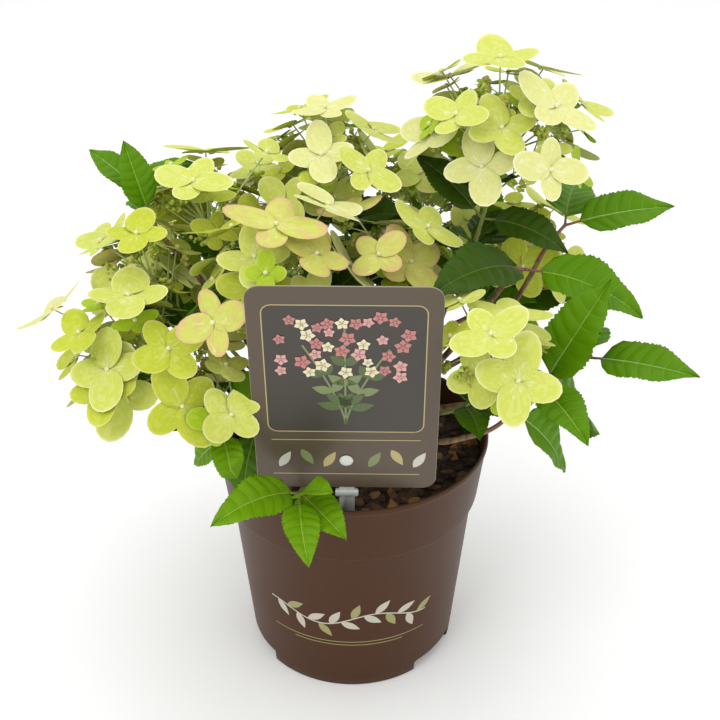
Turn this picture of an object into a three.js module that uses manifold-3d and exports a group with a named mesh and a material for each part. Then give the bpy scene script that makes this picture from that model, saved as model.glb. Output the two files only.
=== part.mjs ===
// A panicle hydrangea in a nursery pot, in millimetres, +Z up.
// The origin is at the centre of the pot's underside, and -Y is the side that the label faces.
// A short trunk stands on the soil and forks into main stems, each stem carries a few boughs,
// and each bough ends where one flower head or leafy shoot begins.
import * as THREE from "three";
import { mergeVertices } from "three/addons/utils/BufferGeometryUtils.js";
import Module from "manifold-3d";

const wasm = await Module();
wasm.setup();

// Driving dimensions
const GAP = 0.3; // least clearance between neighbouring solids
const SEAT = 0.4; // between a bough's flat tip and the shoot that grows on from it
const POT = {
  height: 173, rimRadius: 95, bandRadius: 89, bandHeight: 46, neckRadius: 86, footRadius: 74.5,
  wall: 2.2, floor: 11, edge: 1.2, segments: 40,
};
const NOTCH = { count: 3, first: -66, width: 44, depth: 7, height: 9 }; // first: degrees from the front
const SOIL = { edgeHeight: 156, topHeight: 161, flatRadius: 26 };
const CARD = {
  width: 113, height: 157, thickness: 0.8, corner: 9, holeHeight: 24, holeRadius: 2.4,
  foot: [-3, -78, 180.5], lean: 8.2, yaw: -1, roll: 0,
};
const STAKE = {
  width: 10, thickness: 1.6, rise: 34, sunk: 30, crossWidth: 15, crossHeight: 5, crossDrop: 9,
  headRadius: 4.4, headThickness: 1.4,
};
const TRUNK = { height: 22, flareRadius: 17, waistRadius: 9, knuckleRadius: 11, lean: [3, -2] };
const STEM = { footRadius: 4.6, tipRadius: 3.6, knuckleRadius: 6.2 };
const BOUGH = { footRadius: 2.3, tipRadius: 1.7 };
const SHOOT = { footRadius: 1.7, tipRadius: 1.1 };
const FLORET = { reach: 29, smaller: 0.84, pedicelRadius: 0.75, thickness: 1.4, cup: 0.14 };
const LEAF = {
  widthShare: 0.52, thickness: 1.1, fold: 0.2, petiole: 0.14, petioleRadius: 0.9, rootShift: 0.6,
};
const BUD = { radius: 5.5, perHead: 2 };
const DOME = { depth: 1.35, lift: 0.7 }; // how far a head's florets go down its sides, and its tilt upwards
const SMALLER = [1, 0.85, 0.7]; // sizes tried for a leaf or floret with no room
const SHIFTS = [0, 6, -6, 12, -12, 18]; // and shifts of a floret, out from the middle of its head
const CLEAR = 1.7; // between the cups of two florets
const BOW = 0.4; // how far a limb goes on in the direction it left in, of its length
const SAG = 0.25; // how far limbs turn down as they leave a knuckle
const LIMB_STEPS = 4;
const SHOOT_STEPS = 6;

// Main stems: where each ends, in a knuckle that its boughs leave from
const STEMS = {
  right: [50, 4, 214],
  front: [8, -42, 206],
  left: [-52, -10, 208],
  back_left: [-34, 44, 212],
  back_right: [28, 50, 214],
};

// Flower heads: foot is the bough's tip, centre and radius give the dome of florets, turn is where its
// spiral of florets starts, and leaves are the pairs on the shoot below the dome.
const HEADS = [
  {
    name: "top_right", stem: "right", foot: [76, 22, 291], centre: [95, 41, 370], radius: 54,
    florets: 14, turn: 240, seed: 1492,
    leaves: { shares: [0.1, 0.42], length: 61, turn: 60, spread: 65, seed: 4358 },
  },
  {
    name: "front_right", stem: "front", foot: [56, -56, 222], centre: [88, -81, 278], radius: 35,
    florets: 9, turn: 110, seed: 1634,
    leaves: { shares: [0.3], length: 67, turn: 240, spread: 60, seed: 8273 },
  },
  {
    name: "front", stem: "front", foot: [-20, -30, 250], centre: [-53, -40, 314], radius: 43,
    florets: 10, turn: 350, seed: 5567,
    leaves: { shares: [0.3], length: 54, turn: 350, spread: 55, seed: 9433 },
  },
  {
    name: "far_left", stem: "left", foot: [-102, -38, 222], centre: [-133, -42, 254], radius: 48,
    florets: 12, turn: 220, seed: 4793,
    leaves: { shares: [0.2], length: 61, turn: 320, spread: 50, seed: 1184 },
  },
  {
    name: "left", stem: "left", foot: [-92, -4, 242], centre: [-132, -3, 291], radius: 35,
    florets: 8, turn: 200, seed: 5506,
    leaves: { shares: [0.3], length: 67, turn: 330, spread: 50, seed: 1278 },
  },
  {
    name: "middle", stem: "right", foot: [38, 2, 252], centre: [23, -3, 300], radius: 41,
    florets: 9, turn: 130, seed: 6452,
    leaves: { shares: [0.25], length: 57, turn: 50, spread: 85, seed: 4765 },
  },
  {
    name: "low_left", stem: "left", foot: [-58, -50, 212], centre: [-92, -57, 235], radius: 32,
    florets: 5, turn: 260, seed: 2859,
    leaves: { shares: [0.1], length: 46, turn: 90, spread: 75, seed: 16 },
  },
  {
    name: "top", stem: "back_right", foot: [4, 60, 266], centre: [-16, 61, 339], radius: 46,
    florets: 12, turn: 340, seed: 9052,
    leaves: { shares: [0.2, 0.5], length: 59, turn: 60, spread: 65, seed: 7620 },
  },
  {
    name: "top_left", stem: "back_left", foot: [-68, 30, 264], centre: [-99, 35, 315], radius: 46,
    florets: 12, turn: 160, seed: 5569,
    leaves: { shares: [0.2], length: 65, turn: 90, spread: 85, seed: 2919 },
  },
  {
    name: "back_left", stem: "back_left", foot: [-40, 92, 238], centre: [-50, 118, 292], radius: 43,
    florets: 9, turn: 90, seed: 20,
    leaves: { shares: [0.1, 0.5], length: 66, turn: 0, spread: 70, seed: 12 },
  },
  {
    name: "back_right", stem: "back_right", foot: [48, 90, 240], centre: [54, 116, 298], radius: 43,
    florets: 9, turn: 60, seed: 21,
    leaves: { shares: [0.1, 0.5], length: 66, turn: 45, spread: 70, seed: 13 },
  },
  {
    name: "rear_right", stem: "back_right", foot: [86, 66, 226], centre: [116, 88, 270], radius: 39,
    florets: 8, turn: 15, seed: 22,
    leaves: { shares: [0.2], length: 72, turn: 130, spread: 45, seed: 1811 },
  },
  {
    name: "rear_left", stem: "back_left", foot: [-90, 64, 226], centre: [-124, 80, 262], radius: 40,
    florets: 8, turn: 35, seed: 23,
    leaves: { shares: [0.2], length: 67, turn: 280, spread: 60, seed: 4386 },
  },
];

// Leafy shoots with no flowers. Shares of the way from foot to tip say where the leaf pairs sit.
const SHOOTS = [
  {
    name: "right_high", stem: "right", foot: [122, 12, 296], tip: [141, 27, 316],
    leaves: { shares: [0.96], length: 59, turn: 150, spread: 40, seed: 9009 },
  },
  {
    name: "right_middle", stem: "right", foot: [100, 0, 287], tip: [111, -16, 304],
    leaves: { shares: [0.9], length: 72, turn: 340, spread: 50, seed: 6445 },
  },
  {
    name: "right_low", stem: "front", foot: [95, -50, 228], tip: [152, -42, 257],
    leaves: { shares: [0.5, 0.96], length: 79, turn: 40, spread: 55, seed: 8651 },
  },
  {
    name: "right_front", stem: "front", foot: [82, -74, 219], tip: [113, -71, 258],
    leaves: { shares: [0.55, 0.96], length: 66, turn: 30, spread: 95, seed: 1187 },
  },
  {
    name: "pot_front", stem: "trunk", foot: [-24, -50, 171], tip: [-32, -101, 189],
    leaves: { shares: [0.75, 0.96], length: 56, turn: 170, spread: 30, seed: 1300 },
  },
  {
    name: "pot_left", stem: "left", foot: [-66, -50, 209], tip: [-83, -68, 218],
    leaves: { shares: [0.6, 0.96], length: 48, turn: 220, spread: 65, seed: 4941 },
  },
  {
    name: "left_high", stem: "left", foot: [-120, 10, 312], tip: [-135, 25, 340],
    leaves: { shares: [0.6, 0.96], length: 47, turn: 280, spread: 45, seed: 8171 },
  },
  {
    name: "rear_right", stem: "back_right", foot: [66, 96, 210], tip: [96, 136, 226],
    leaves: { shares: [0.5, 0.96], length: 74, turn: 0, spread: 60, seed: 37 },
  },
  {
    name: "rear_left", stem: "back_left", foot: [-70, 96, 208], tip: [-98, 134, 224],
    leaves: { shares: [0.5, 0.96], length: 74, turn: 0, spread: 60, seed: 38 },
  },
  {
    name: "rear_middle", stem: "back_right", foot: [4, 96, 200], tip: [4, 138, 212],
    leaves: { shares: [0.5, 0.96], length: 70, turn: 0, spread: 60, seed: 39 },
  },
];

const UP = new THREE.Vector3(0, 0, 1);
const LIGHT = new THREE.Vector3(0, -0.5, 1).normalize(); // the way leaves turn their faces
const GOLDEN = THREE.MathUtils.degToRad(137.508);
const vec = (a) => new THREE.Vector3(...a);
const rad = THREE.MathUtils.degToRad;

function paint(color, roughness) {
  return new THREE.MeshStandardMaterial({ color, roughness, metalness: 0 });
}
const PAINT = {
  pot: paint(0x5a4638, 0.45),
  soil: paint(0x35241a, 0.95),
  card: paint(0x54473d, 0.4),
  clear: paint(0xb9bdb4, 0.3),
  bark: paint(0x75603f, 0.8),
  blossom: paint(0xbfd450, 0.6),
  leaf: paint(0x3f7a1c, 0.5),
};

// A seeded stream of numbers from 0 to 1
function stream(seed) {
  let a = seed >>> 0;
  return () => {
    a = (a + 0x6d2b79f5) >>> 0;
    let t = Math.imul(a ^ (a >>> 15), 1 | a);
    t = (t + Math.imul(t ^ (t >>> 7), 61 | t)) ^ t;
    return ((t ^ (t >>> 14)) >>> 0) / 4294967296;
  };
}

// A closed manifold solid from a closed three.js geometry
function solidOf(geometry) {
  const bare = new THREE.BufferGeometry().setAttribute("position", geometry.getAttribute("position"));
  if (geometry.index) bare.setIndex(geometry.index);
  const merged = mergeVertices(bare, 1e-4);
  return new wasm.Manifold(
    new wasm.Mesh({
      numProp: 3,
      vertProperties: new Float32Array(merged.attributes.position.array),
      triVerts: new Uint32Array(merged.index.array),
    }),
  );
}

function geometryOf(solid) {
  const { vertProperties, triVerts } = solid.getMesh();
  return new THREE.BufferGeometry()
    .setAttribute("position", new THREE.BufferAttribute(vertProperties, 3))
    .setIndex(new THREE.BufferAttribute(triVerts, 1));
}

// Vertices and triangles as a geometry
function facets(points, triangles) {
  const position = new Float32Array(points.flatMap((p) => [p.x, p.y, p.z]));
  return new THREE.BufferGeometry()
    .setAttribute("position", new THREE.BufferAttribute(position, 3))
    .setIndex(triangles);
}

// A tapering limb with flat ends that follows a list of points and is square to the tangents there
function taper(points, radii, sides, tangents) {
  let across = Math.abs(tangents[0].z) < 0.9 ? UP.clone() : new THREE.Vector3(1, 0, 0);
  const ring = [];
  points.forEach((p, i) => {
    across = across.clone().addScaledVector(tangents[i], -across.dot(tangents[i])).normalize();
    const side = tangents[i].clone().cross(across);
    for (let k = 0; k < sides; k++) {
      const turn = (2 * Math.PI * k) / sides;
      ring.push(
        p.clone()
          .addScaledVector(across, radii[i] * Math.cos(turn))
          .addScaledVector(side, radii[i] * Math.sin(turn)),
      );
    }
  });
  const triangles = [];
  for (let i = 0; i + 1 < points.length; i++) {
    for (let k = 0; k < sides; k++) {
      const [a, b] = [i * sides + k, i * sides + ((k + 1) % sides)];
      triangles.push(a, b, a + sides, b, b + sides, a + sides);
    }
  }
  const last = (points.length - 1) * sides;
  for (let k = 1; k + 1 < sides; k++) {
    triangles.push(0, k + 1, k, last, last + k, last + k + 1);
  }
  return facets(ring, triangles);
}

// A bow from one end to the other that leaves along a direction
function bow(from, leave, to) {
  const middle = from.clone().addScaledVector(leave, BOW * from.distanceTo(to));
  return new THREE.QuadraticBezierCurve3(from, middle, to);
}

// A limb along a curve, square to it at both ends
function limbAlong(curve, steps, radii, sides) {
  const tangents = Array.from({ length: steps + 1 }, (_, i) => curve.getTangent(i / steps));
  return solidOf(taper(curve.getPoints(steps), evenly(...radii, steps + 1), sides, tangents));
}

// The point at a share of the way along a list of points, and the direction there
function pointOn(points, share) {
  const i = stretchOf(points, share);
  return points[i].clone().lerp(points[i + 1], share * (points.length - 1) - i);
}
function headingOn(points, share) {
  const i = stretchOf(points, share);
  return points[i + 1].clone().sub(points[i]).normalize();
}
function stretchOf(points, share) {
  return Math.min(Math.floor(share * (points.length - 1)), points.length - 2);
}

// Radii that shrink evenly from foot to tip
function evenly(foot, tip, count) {
  return Array.from({ length: count }, (_, i) => foot + ((tip - foot) * i) / (count - 1));
}

// Two directions square to an axis, the first as near world X as can be
function frameOf(axis) {
  const first = new THREE.Vector3(1, 0, 0);
  first.addScaledVector(axis, -first.dot(axis)).normalize();
  return [first, axis.clone().cross(first)];
}

// The direction at a polar angle from an axis and a turn round it
function aim(axis, polar, turn) {
  const [first, second] = frameOf(axis);
  return axis.clone().multiplyScalar(Math.cos(polar))
    .addScaledVector(first, Math.sin(polar) * Math.cos(turn))
    .addScaledVector(second, Math.sin(polar) * Math.sin(turn));
}

// Pot, soil and label

function potSolid() {
  const { height, rimRadius, bandRadius, bandHeight, neckRadius, footRadius, wall, floor, edge } = POT;
  const shoulder = height - bandHeight;
  const profile = [
    [0, 0], [footRadius - edge, 0], [footRadius, edge], [neckRadius, shoulder],
    [bandRadius, shoulder + edge], [rimRadius, height - edge], [rimRadius - edge, height],
    [rimRadius - wall, height], [bandRadius - wall, shoulder + 2 * edge], [neckRadius - wall, shoulder],
    [footRadius - wall, floor], [0, floor],
  ];
  const body = new THREE.LatheGeometry(profile.map(([r, z]) => new THREE.Vector2(r, z)), POT.segments);
  let solid = solidOf(body.rotateX(Math.PI / 2));
  for (let i = 0; i < NOTCH.count; i++) {
    const turn = rad(NOTCH.first + (360 * i) / NOTCH.count - 90);
    const cut = new THREE.BoxGeometry(3 * NOTCH.depth, NOTCH.width, 2 * NOTCH.height);
    cut.translate(footRadius - NOTCH.depth + 1.5 * NOTCH.depth, 0, 0).rotateZ(turn);
    solid = solid.subtract(solidOf(cut));
  }
  return solid;
}

// The pot's inner radius at a height above its floor
function innerRadius(z) {
  const shoulder = POT.height - POT.bandHeight;
  const [low, high, r0, r1] = z < shoulder
    ? [POT.floor, shoulder, POT.footRadius, POT.neckRadius]
    : [shoulder, POT.height, POT.bandRadius, POT.rimRadius];
  return r0 + ((r1 - r0) * (z - low)) / (high - low) - POT.wall;
}

function soilSolid() {
  const shoulder = POT.height - POT.bandHeight;
  const slack = 2 * GAP; // the facets of both walls stand off their circles
  const profile = [
    [0, POT.floor + GAP], [innerRadius(POT.floor) - slack, POT.floor + GAP],
    [innerRadius(shoulder - 1) - slack, shoulder - 1], [POT.neckRadius - POT.wall - slack, shoulder + 4],
    [innerRadius(SOIL.edgeHeight) - 2 * slack, SOIL.edgeHeight],
    [(SOIL.flatRadius + POT.bandRadius) / 2, (SOIL.edgeHeight + SOIL.topHeight) / 2 + 1],
    [SOIL.flatRadius, SOIL.topHeight], [0, SOIL.topHeight],
  ];
  const body = new THREE.LatheGeometry(profile.map(([r, z]) => new THREE.Vector2(r, z)), POT.segments);
  return solidOf(body.rotateX(Math.PI / 2)).subtract(stripSolid(GAP));
}

// Places card-frame geometry: X across the card, Y up it, Z out of its face
function onCard(geometry) {
  return geometry
    .rotateX(Math.PI / 2)
    .rotateY(rad(-CARD.roll))
    .rotateX(rad(CARD.lean))
    .rotateZ(rad(CARD.yaw))
    .translate(...CARD.foot);
}

function roundedOutline(width, height, corner) {
  const outline = new THREE.Shape();
  const half = width / 2;
  outline.moveTo(-half + corner, 0);
  outline.absarc(half - corner, corner, corner, -Math.PI / 2, 0);
  outline.absarc(half - corner, height - corner, corner, 0, Math.PI / 2);
  outline.absarc(-half + corner, height - corner, corner, Math.PI / 2, Math.PI);
  outline.absarc(-half + corner, corner, corner, Math.PI, 1.5 * Math.PI);
  return outline;
}

function cardSolid() {
  const outline = roundedOutline(CARD.width, CARD.height, CARD.corner);
  const hole = new THREE.Path();
  hole.absarc(0, CARD.holeHeight, CARD.holeRadius, 0, 2 * Math.PI, true);
  outline.holes.push(hole);
  const flat = { depth: CARD.thickness, bevelEnabled: false, curveSegments: 5 };
  return solidOf(onCard(new THREE.ExtrudeGeometry(outline, flat)));
}

// The strip of the stake behind the card. Grown by a margin, it cuts the slot that it stands in.
function stripSolid(margin) {
  const { width, thickness, rise, sunk } = STAKE;
  const strip = new THREE.BoxGeometry(width + 2 * margin, rise + sunk + 2 * margin, thickness + 2 * margin);
  return solidOf(onCard(strip.translate(0, (rise - sunk) / 2, -GAP - thickness / 2)));
}

// The stake: its strip, its cross bar, and the stud through the card with its round head
function stakeSolid() {
  const { thickness, crossWidth, crossHeight, crossDrop, headRadius, headThickness } = STAKE;
  const bar = new THREE.BoxGeometry(crossWidth, crossHeight, 2 * thickness);
  bar.translate(0, crossHeight / 2 - crossDrop, -GAP - thickness / 2);
  const studRadius = CARD.holeRadius - GAP;
  const stud = new THREE.CylinderGeometry(studRadius, studRadius, 3 * thickness, 8);
  stud.rotateX(Math.PI / 2).translate(0, CARD.holeHeight, thickness / 2 - GAP);
  const head = new THREE.CylinderGeometry(headRadius - 1, headRadius, headThickness, 16);
  head.rotateX(Math.PI / 2).translate(0, CARD.holeHeight, CARD.thickness + GAP + headThickness / 2);
  return [bar, stud, head].map((g) => solidOf(onCard(g))).reduce((a, b) => a.add(b), stripSolid(0));
}

// Trunk, stems and boughs

const trunkFoot = new THREE.Vector3(0, 0, SOIL.topHeight + GAP);
const trunkTop = trunkFoot.clone().add(new THREE.Vector3(...TRUNK.lean, TRUNK.height));

// Where limbs leave from: the trunk's own knuckle, and the one that ends each main stem
const forks = { trunk: { centre: trunkTop, radius: TRUNK.knuckleRadius } };
for (const [name, end] of Object.entries(STEMS)) {
  forks[name] = { centre: vec(end), radius: STEM.knuckleRadius };
}

// Every limb by the name of its node: its fork, its end and its two radii
const limbs = {};
for (const [name, end] of Object.entries(STEMS)) {
  limbs["stem_" + name] = { fork: "trunk", end: vec(end), radii: [STEM.footRadius, STEM.tipRadius] };
}
for (const [kind, list] of [["head", HEADS], ["shoot", SHOOTS]]) {
  for (const { name, stem, foot } of list) {
    const radii = [BOUGH.footRadius, BOUGH.tipRadius];
    limbs["bough_" + kind + "_" + name] = { fork: stem, end: vec(foot), radii };
  }
}
for (const [name, fork] of Object.entries(forks)) {
  depart(fork, Object.values(limbs).filter((limb) => limb.fork === name));
}

// Gives each limb of a fork the direction it leaves in: towards its end and a little down, then pushed
// away from its neighbours until there is room for both on the knuckle
function depart({ centre, radius }, members) {
  for (const limb of members) {
    limb.leave = limb.end.clone().sub(centre).normalize().addScaledVector(UP, -SAG).normalize();
  }
  for (let round = 0; round < 80; round++) {
    for (const a of members) {
      for (const b of members.filter((m) => m !== a)) {
        const least = 2 * Math.asin((1.15 * (a.radii[0] + b.radii[0]) + 2 * GAP) / 2 / radius);
        const short = least - a.leave.angleTo(b.leave);
        if (short <= 0) continue;
        const push = a.leave.clone().sub(b.leave).setLength(0.3 * short);
        a.leave.add(push).normalize();
        b.leave.sub(push).normalize();
      }
    }
  }
}

function trunkSolid() {
  const { flareRadius, waistRadius, knuckleRadius } = TRUNK;
  const shares = [-0.2, 0.12, 0.35, 0.6, 0.85];
  const points = shares.map((s) => trunkFoot.clone().lerp(trunkTop, s));
  const radii = [1.2 * flareRadius, 0.8 * flareRadius, 1.1 * waistRadius, waistRadius, waistRadius];
  const tangent = trunkTop.clone().sub(trunkFoot).normalize();
  const column = solidOf(taper(points, radii, 12, points.map(() => tangent)));
  const ground = new THREE.BoxGeometry(4 * flareRadius, 4 * flareRadius, TRUNK.height);
  ground.translate(0, 0, trunkFoot.z - TRUNK.height / 2);
  return column.add(knuckle(trunkTop, knuckleRadius)).subtract(solidOf(ground));
}

function knuckle(centre, radius, grown = 0) {
  const ball = new THREE.IcosahedronGeometry(radius + grown, radius > STEM.knuckleRadius ? 1 : 0);
  return solidOf(ball.translate(...centre.toArray()));
}

// A limb's curve from inside its fork's knuckle to its end
function courseOf({ fork, end, leave }) {
  const { centre, radius } = forks[fork];
  return bow(centre.clone().addScaledVector(leave, 0.6 * radius), leave, end);
}

// A limb cut clear of the knuckle that it leaves
function limbSolid(limb, sides) {
  const { centre, radius } = forks[limb.fork];
  const whole = limbAlong(courseOf(limb), LIMB_STEPS, limb.radii, sides);
  return largest(whole.subtract(knuckle(centre, radius, 1.3 * GAP)));
}

// The outer shell of the largest body: scraps and sealed hollows are dropped
function largest(solid) {
  return solid.decompose().sort((a, b) => b.volume() - a.volume())[0];
}

// Leaves, florets and buds

// A loft of equal rings, from a flat end to a last point
function loft(rings, last) {
  const size = rings[0].length;
  const triangles = [];
  for (let k = 1; k + 1 < size; k++) triangles.push(0, k + 1, k);
  for (let i = 0; i < rings.length; i++) {
    for (let k = 0; k < size; k++) {
      const [a, b] = [i * size + k, i * size + ((k + 1) % size)];
      if (i + 1 < rings.length) triangles.push(a, b, a + size, b, b + size, a + size);
      else triangles.push(a, b, rings.length * size);
    }
  }
  return facets([...rings.flat(), last], triangles);
}

// A leaf on its petiole: rings of left edge, midrib, right edge and underside, with the halves folded up
// and the midrib bent down by droop over its length
function leafSolid(from, heading, length, droop) {
  const side = heading.clone().cross(LIGHT).normalize();
  const face = side.clone().cross(heading).normalize();
  const ring = (mid, normal, half, depth) => [
    mid.clone().addScaledVector(side, -half).addScaledVector(normal, LEAF.fold * half),
    mid.clone(),
    mid.clone().addScaledVector(side, half).addScaledVector(normal, LEAF.fold * half),
    mid.clone().addScaledVector(normal, -depth),
  ];
  const stalk = LEAF.petioleRadius;
  const base = from.clone().addScaledVector(heading, LEAF.petiole * length);
  const rings = [ring(from, face, stalk, 1.5 * stalk), ring(base, face, stalk, 1.5 * stalk)];
  const bladeAt = (share) => {
    const bend = droop * share;
    const mid = base.clone()
      .addScaledVector(heading, length * share * (1 - (bend * bend) / 6))
      .addScaledVector(face, (-length * share * bend) / 2);
    const normal = face.clone().multiplyScalar(Math.cos(bend)).addScaledVector(heading, Math.sin(bend));
    return [mid, normal];
  };
  for (const [share, width] of [[0.2, 0.76], [0.5, 1], [0.8, 0.55]]) {
    rings.push(ring(...bladeAt(share), (width * length * LEAF.widthShare) / 2, LEAF.thickness));
  }
  return solidOf(loft(rings, bladeAt(1)[0]));
}

// A four-petalled floret on its pedicel: a shallow cup over an outline of four broad lobes, the second
// pair smaller, and an underside that runs down into the three-sided pedicel
function floretSolid(root, { at, face, roll, reach }) {
  const [first, second] = frameOf(face);
  const spot = (r, angle, lift) => at.clone()
    .addScaledVector(first, r * Math.cos(angle))
    .addScaledVector(second, r * Math.sin(angle))
    .addScaledVector(face, lift);
  const lobe = [[0.42, -45], [0.95, -22], [0.95, 22]]; // share of the reach, degrees off the lobe's line
  const points = [at.clone().addScaledVector(face, 0.4)];
  for (let k = 0; k < 4; k++) {
    const size = reach * (k % 2 ? FLORET.smaller : 1);
    for (const [share, degrees] of lobe) {
      points.push(spot(share * size, roll + rad(90 * k + degrees), FLORET.cup * share * share * size));
    }
  }
  const rim = points.length - 1;
  const neck = points.length;
  const end = neck + 3;
  for (const [centre, lift] of [[at, -FLORET.thickness], [root, 0]]) {
    for (let k = 0; k < 3; k++) {
      points.push(spot(FLORET.pedicelRadius, roll + rad(120 * k), lift).sub(at).add(centre));
    }
  }
  const triangles = [end, end + 2, end + 1];
  for (let k = 0; k < rim; k++) {
    const [a, b] = [1 + k, 1 + ((k + 1) % rim)];
    const under = neck + Math.floor(k / 4);
    triangles.push(0, a, b, under, b, a);
    if (k % 4 === 3) triangles.push(under, neck + ((Math.floor(k / 4) + 1) % 3), b);
  }
  for (let k = 0; k < 3; k++) {
    const [a, b] = [neck + k, neck + ((k + 1) % 3)];
    triangles.push(b, a, a + 3, b, a + 3, b + 3);
  }
  return solidOf(facets(points, triangles));
}

function pedicelSolid(root, at) {
  const tangent = at.clone().sub(root).normalize();
  return solidOf(taper([root, at], [FLORET.pedicelRadius, FLORET.pedicelRadius], 3, [tangent, tangent]));
}

// What is already placed, so that a mass keeps to its own space
const placed = [];

function place(name, solid) {
  placed.push({ name, solid, box: solid.boundingBox() });
}

// The first placed solid of another node that a solid comes too near to
function neighbourOf(solid, own) {
  const box = solid.boundingBox();
  return placed.find(({ name, solid: other, box: b }) => {
    if (name === own) return false;
    const apart = [0, 1, 2].some((i) => box.min[i] > b.max[i] + GAP || b.min[i] > box.max[i] + GAP);
    return !apart && solid.minGap(other, 2 * GAP) <= GAP;
  });
}

// Adds solids to a mass, all or none, if they are clear of every other node
function grow(mass, solids) {
  if (solids.some((s) => neighbourOf(s, mass.name))) return false;
  solids.forEach((s) => {
    mass.solids.push(s);
    place(mass.name, s);
  });
  return true;
}

// A mass with nothing yet but the shoot that carries it, which goes on from the tip of its bough
function sprout(name, bough, end, spec) {
  const leave = courseOf(limbs[bough]).getTangent(1);
  const curve = bow(vec(spec.foot).addScaledVector(leave, SEAT), leave, vec(end));
  const stalk = limbAlong(curve, SHOOT_STEPS, [SHOOT.footRadius, SHOOT.tipRadius], 4);
  const neighbour = neighbourOf(stalk, name);
  if (neighbour) throw new Error(name + " has no room for its shoot beside " + neighbour.name);
  place(name, stalk);
  return { name, along: curve.getPoints(SHOOT_STEPS), spec, solids: [stalk] };
}

// Pairs of leaves set crosswise along a shoot, each pair a quarter turn from the last. A leaf with no
// room is tried smaller, and then skipped.
function addLeaves(mass) {
  const { shares, length, turn, spread, seed } = mass.spec.leaves;
  const next = stream(seed);
  shares.forEach((share, pair) => {
    const axis = headingOn(mass.along, share);
    for (let k = 0; k < 2; k++) {
      const angle = rad(turn) + (pair * Math.PI) / 2 + k * Math.PI + 0.5 * (next() - 0.5);
      const heading = aim(axis, rad(spread) + 0.4 * (next() - 0.5), angle);
      const size = length * (1 - 0.14 * pair) * (0.88 + 0.24 * next());
      const droop = 0.4 + 0.5 * next();
      const from = pointOn(mass.along, share).addScaledVector(heading, LEAF.rootShift);
      SMALLER.some((scale) => grow(mass, [leafSolid(from, heading, scale * size, droop)]));
    }
  });
}

// Spots on a floret's cup: its centre, and four on each lobe
function spotsOf({ at, face, roll, reach }) {
  const [first, second] = frameOf(face);
  const spots = [at];
  for (let k = 0; k < 4; k++) {
    for (const [share, degrees] of [[0.5, 0], [0.92, -24], [0.95, 0], [0.92, 24]]) {
      const r = share * reach * (k % 2 ? FLORET.smaller : 1);
      const angle = roll + rad(90 * k + degrees);
      spots.push(
        at.clone()
          .addScaledVector(first, r * Math.cos(angle))
          .addScaledVector(second, r * Math.sin(angle))
          .addScaledVector(face, (FLORET.cup * r * r) / reach),
      );
    }
  }
  return spots;
}

// Whether spots lie on both sides of a floret's cup, or too near to it
function pierces(spots, { at, face, reach }) {
  const sides = new Set();
  for (const spot of spots) {
    const from = spot.clone().sub(at);
    const lift = from.dot(face);
    const r = Math.sqrt(Math.max(from.lengthSq() - lift * lift, 0));
    if (r > reach) continue;
    const height = lift - (FLORET.cup * r * r) / reach;
    if (Math.abs(height) < CLEAR) return true;
    sides.add(height > 0);
  }
  return sides.size > 1;
}

const florets = [];

function fits(floret) {
  const spots = spotsOf(floret);
  return florets.every((other) => {
    if (floret.at.distanceTo(other.at) > floret.reach + other.reach) return true;
    return !pierces(spots, other) && !pierces(other.spots, floret);
  });
}

// A flower head: a dome of florets on pedicels with lumps of buds inside it. A floret that cuts another
// is tried smaller and further in or out, and then skipped.
function addFlorets(mass) {
  const { spec, along } = mass;
  const next = stream(spec.seed);
  const centre = vec(spec.centre);
  const axis = centre.clone().sub(vec(spec.foot)).normalize().addScaledVector(UP, DOME.lift).normalize();
  for (let i = 0; i < spec.florets; i++) {
    const share = (i + 0.5) / spec.florets;
    const polar = Math.acos(1 - DOME.depth * share) + 0.4 * (next() - 0.5);
    const dir = aim(axis, polar, rad(spec.turn) + i * GOLDEN + 0.9 * (next() - 0.5));
    const out = spec.radius * (0.8 + 0.3 * next());
    const face = dir.clone().addScaledVector(UP, 0.6 + 0.6 * next()).normalize();
    const roll = next() * Math.PI;
    const reach = FLORET.reach * (0.8 + 0.3 * next());
    const root = pointOn(along, 0.98 - 0.4 * share);
    SMALLER.some((scale) => SHIFTS.some((shift) => {
      const at = centre.clone().addScaledVector(dir, out + shift);
      const floret = { at, face, roll, reach: scale * reach };
      if (!fits(floret) || !grow(mass, [floretSolid(root, floret)])) return false;
      florets.push({ ...floret, spots: spotsOf(floret) });
      return true;
    }));
  }
  for (let i = 0; i < BUD.perHead; i++) {
    const dir = aim(axis, rad(35 + 20 * i), rad(spec.turn + 60) + i * GOLDEN);
    const at = centre.clone().addScaledVector(dir, 0.5 * spec.radius);
    const lump = new THREE.OctahedronGeometry(BUD.radius).translate(...at.toArray());
    const root = pointOn(along, 0.96 - 0.05 * i);
    grow(mass, [pedicelSolid(root, at), solidOf(lump)]);
  }
}

// The whole plant

const plant = new THREE.Group();

function show(name, solid, material) {
  const mesh = new THREE.Mesh(geometryOf(solid), material);
  mesh.name = name;
  plant.add(mesh);
}

function showPlaced(name, solid, material) {
  place(name, solid);
  show(name, solid, material);
}

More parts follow.
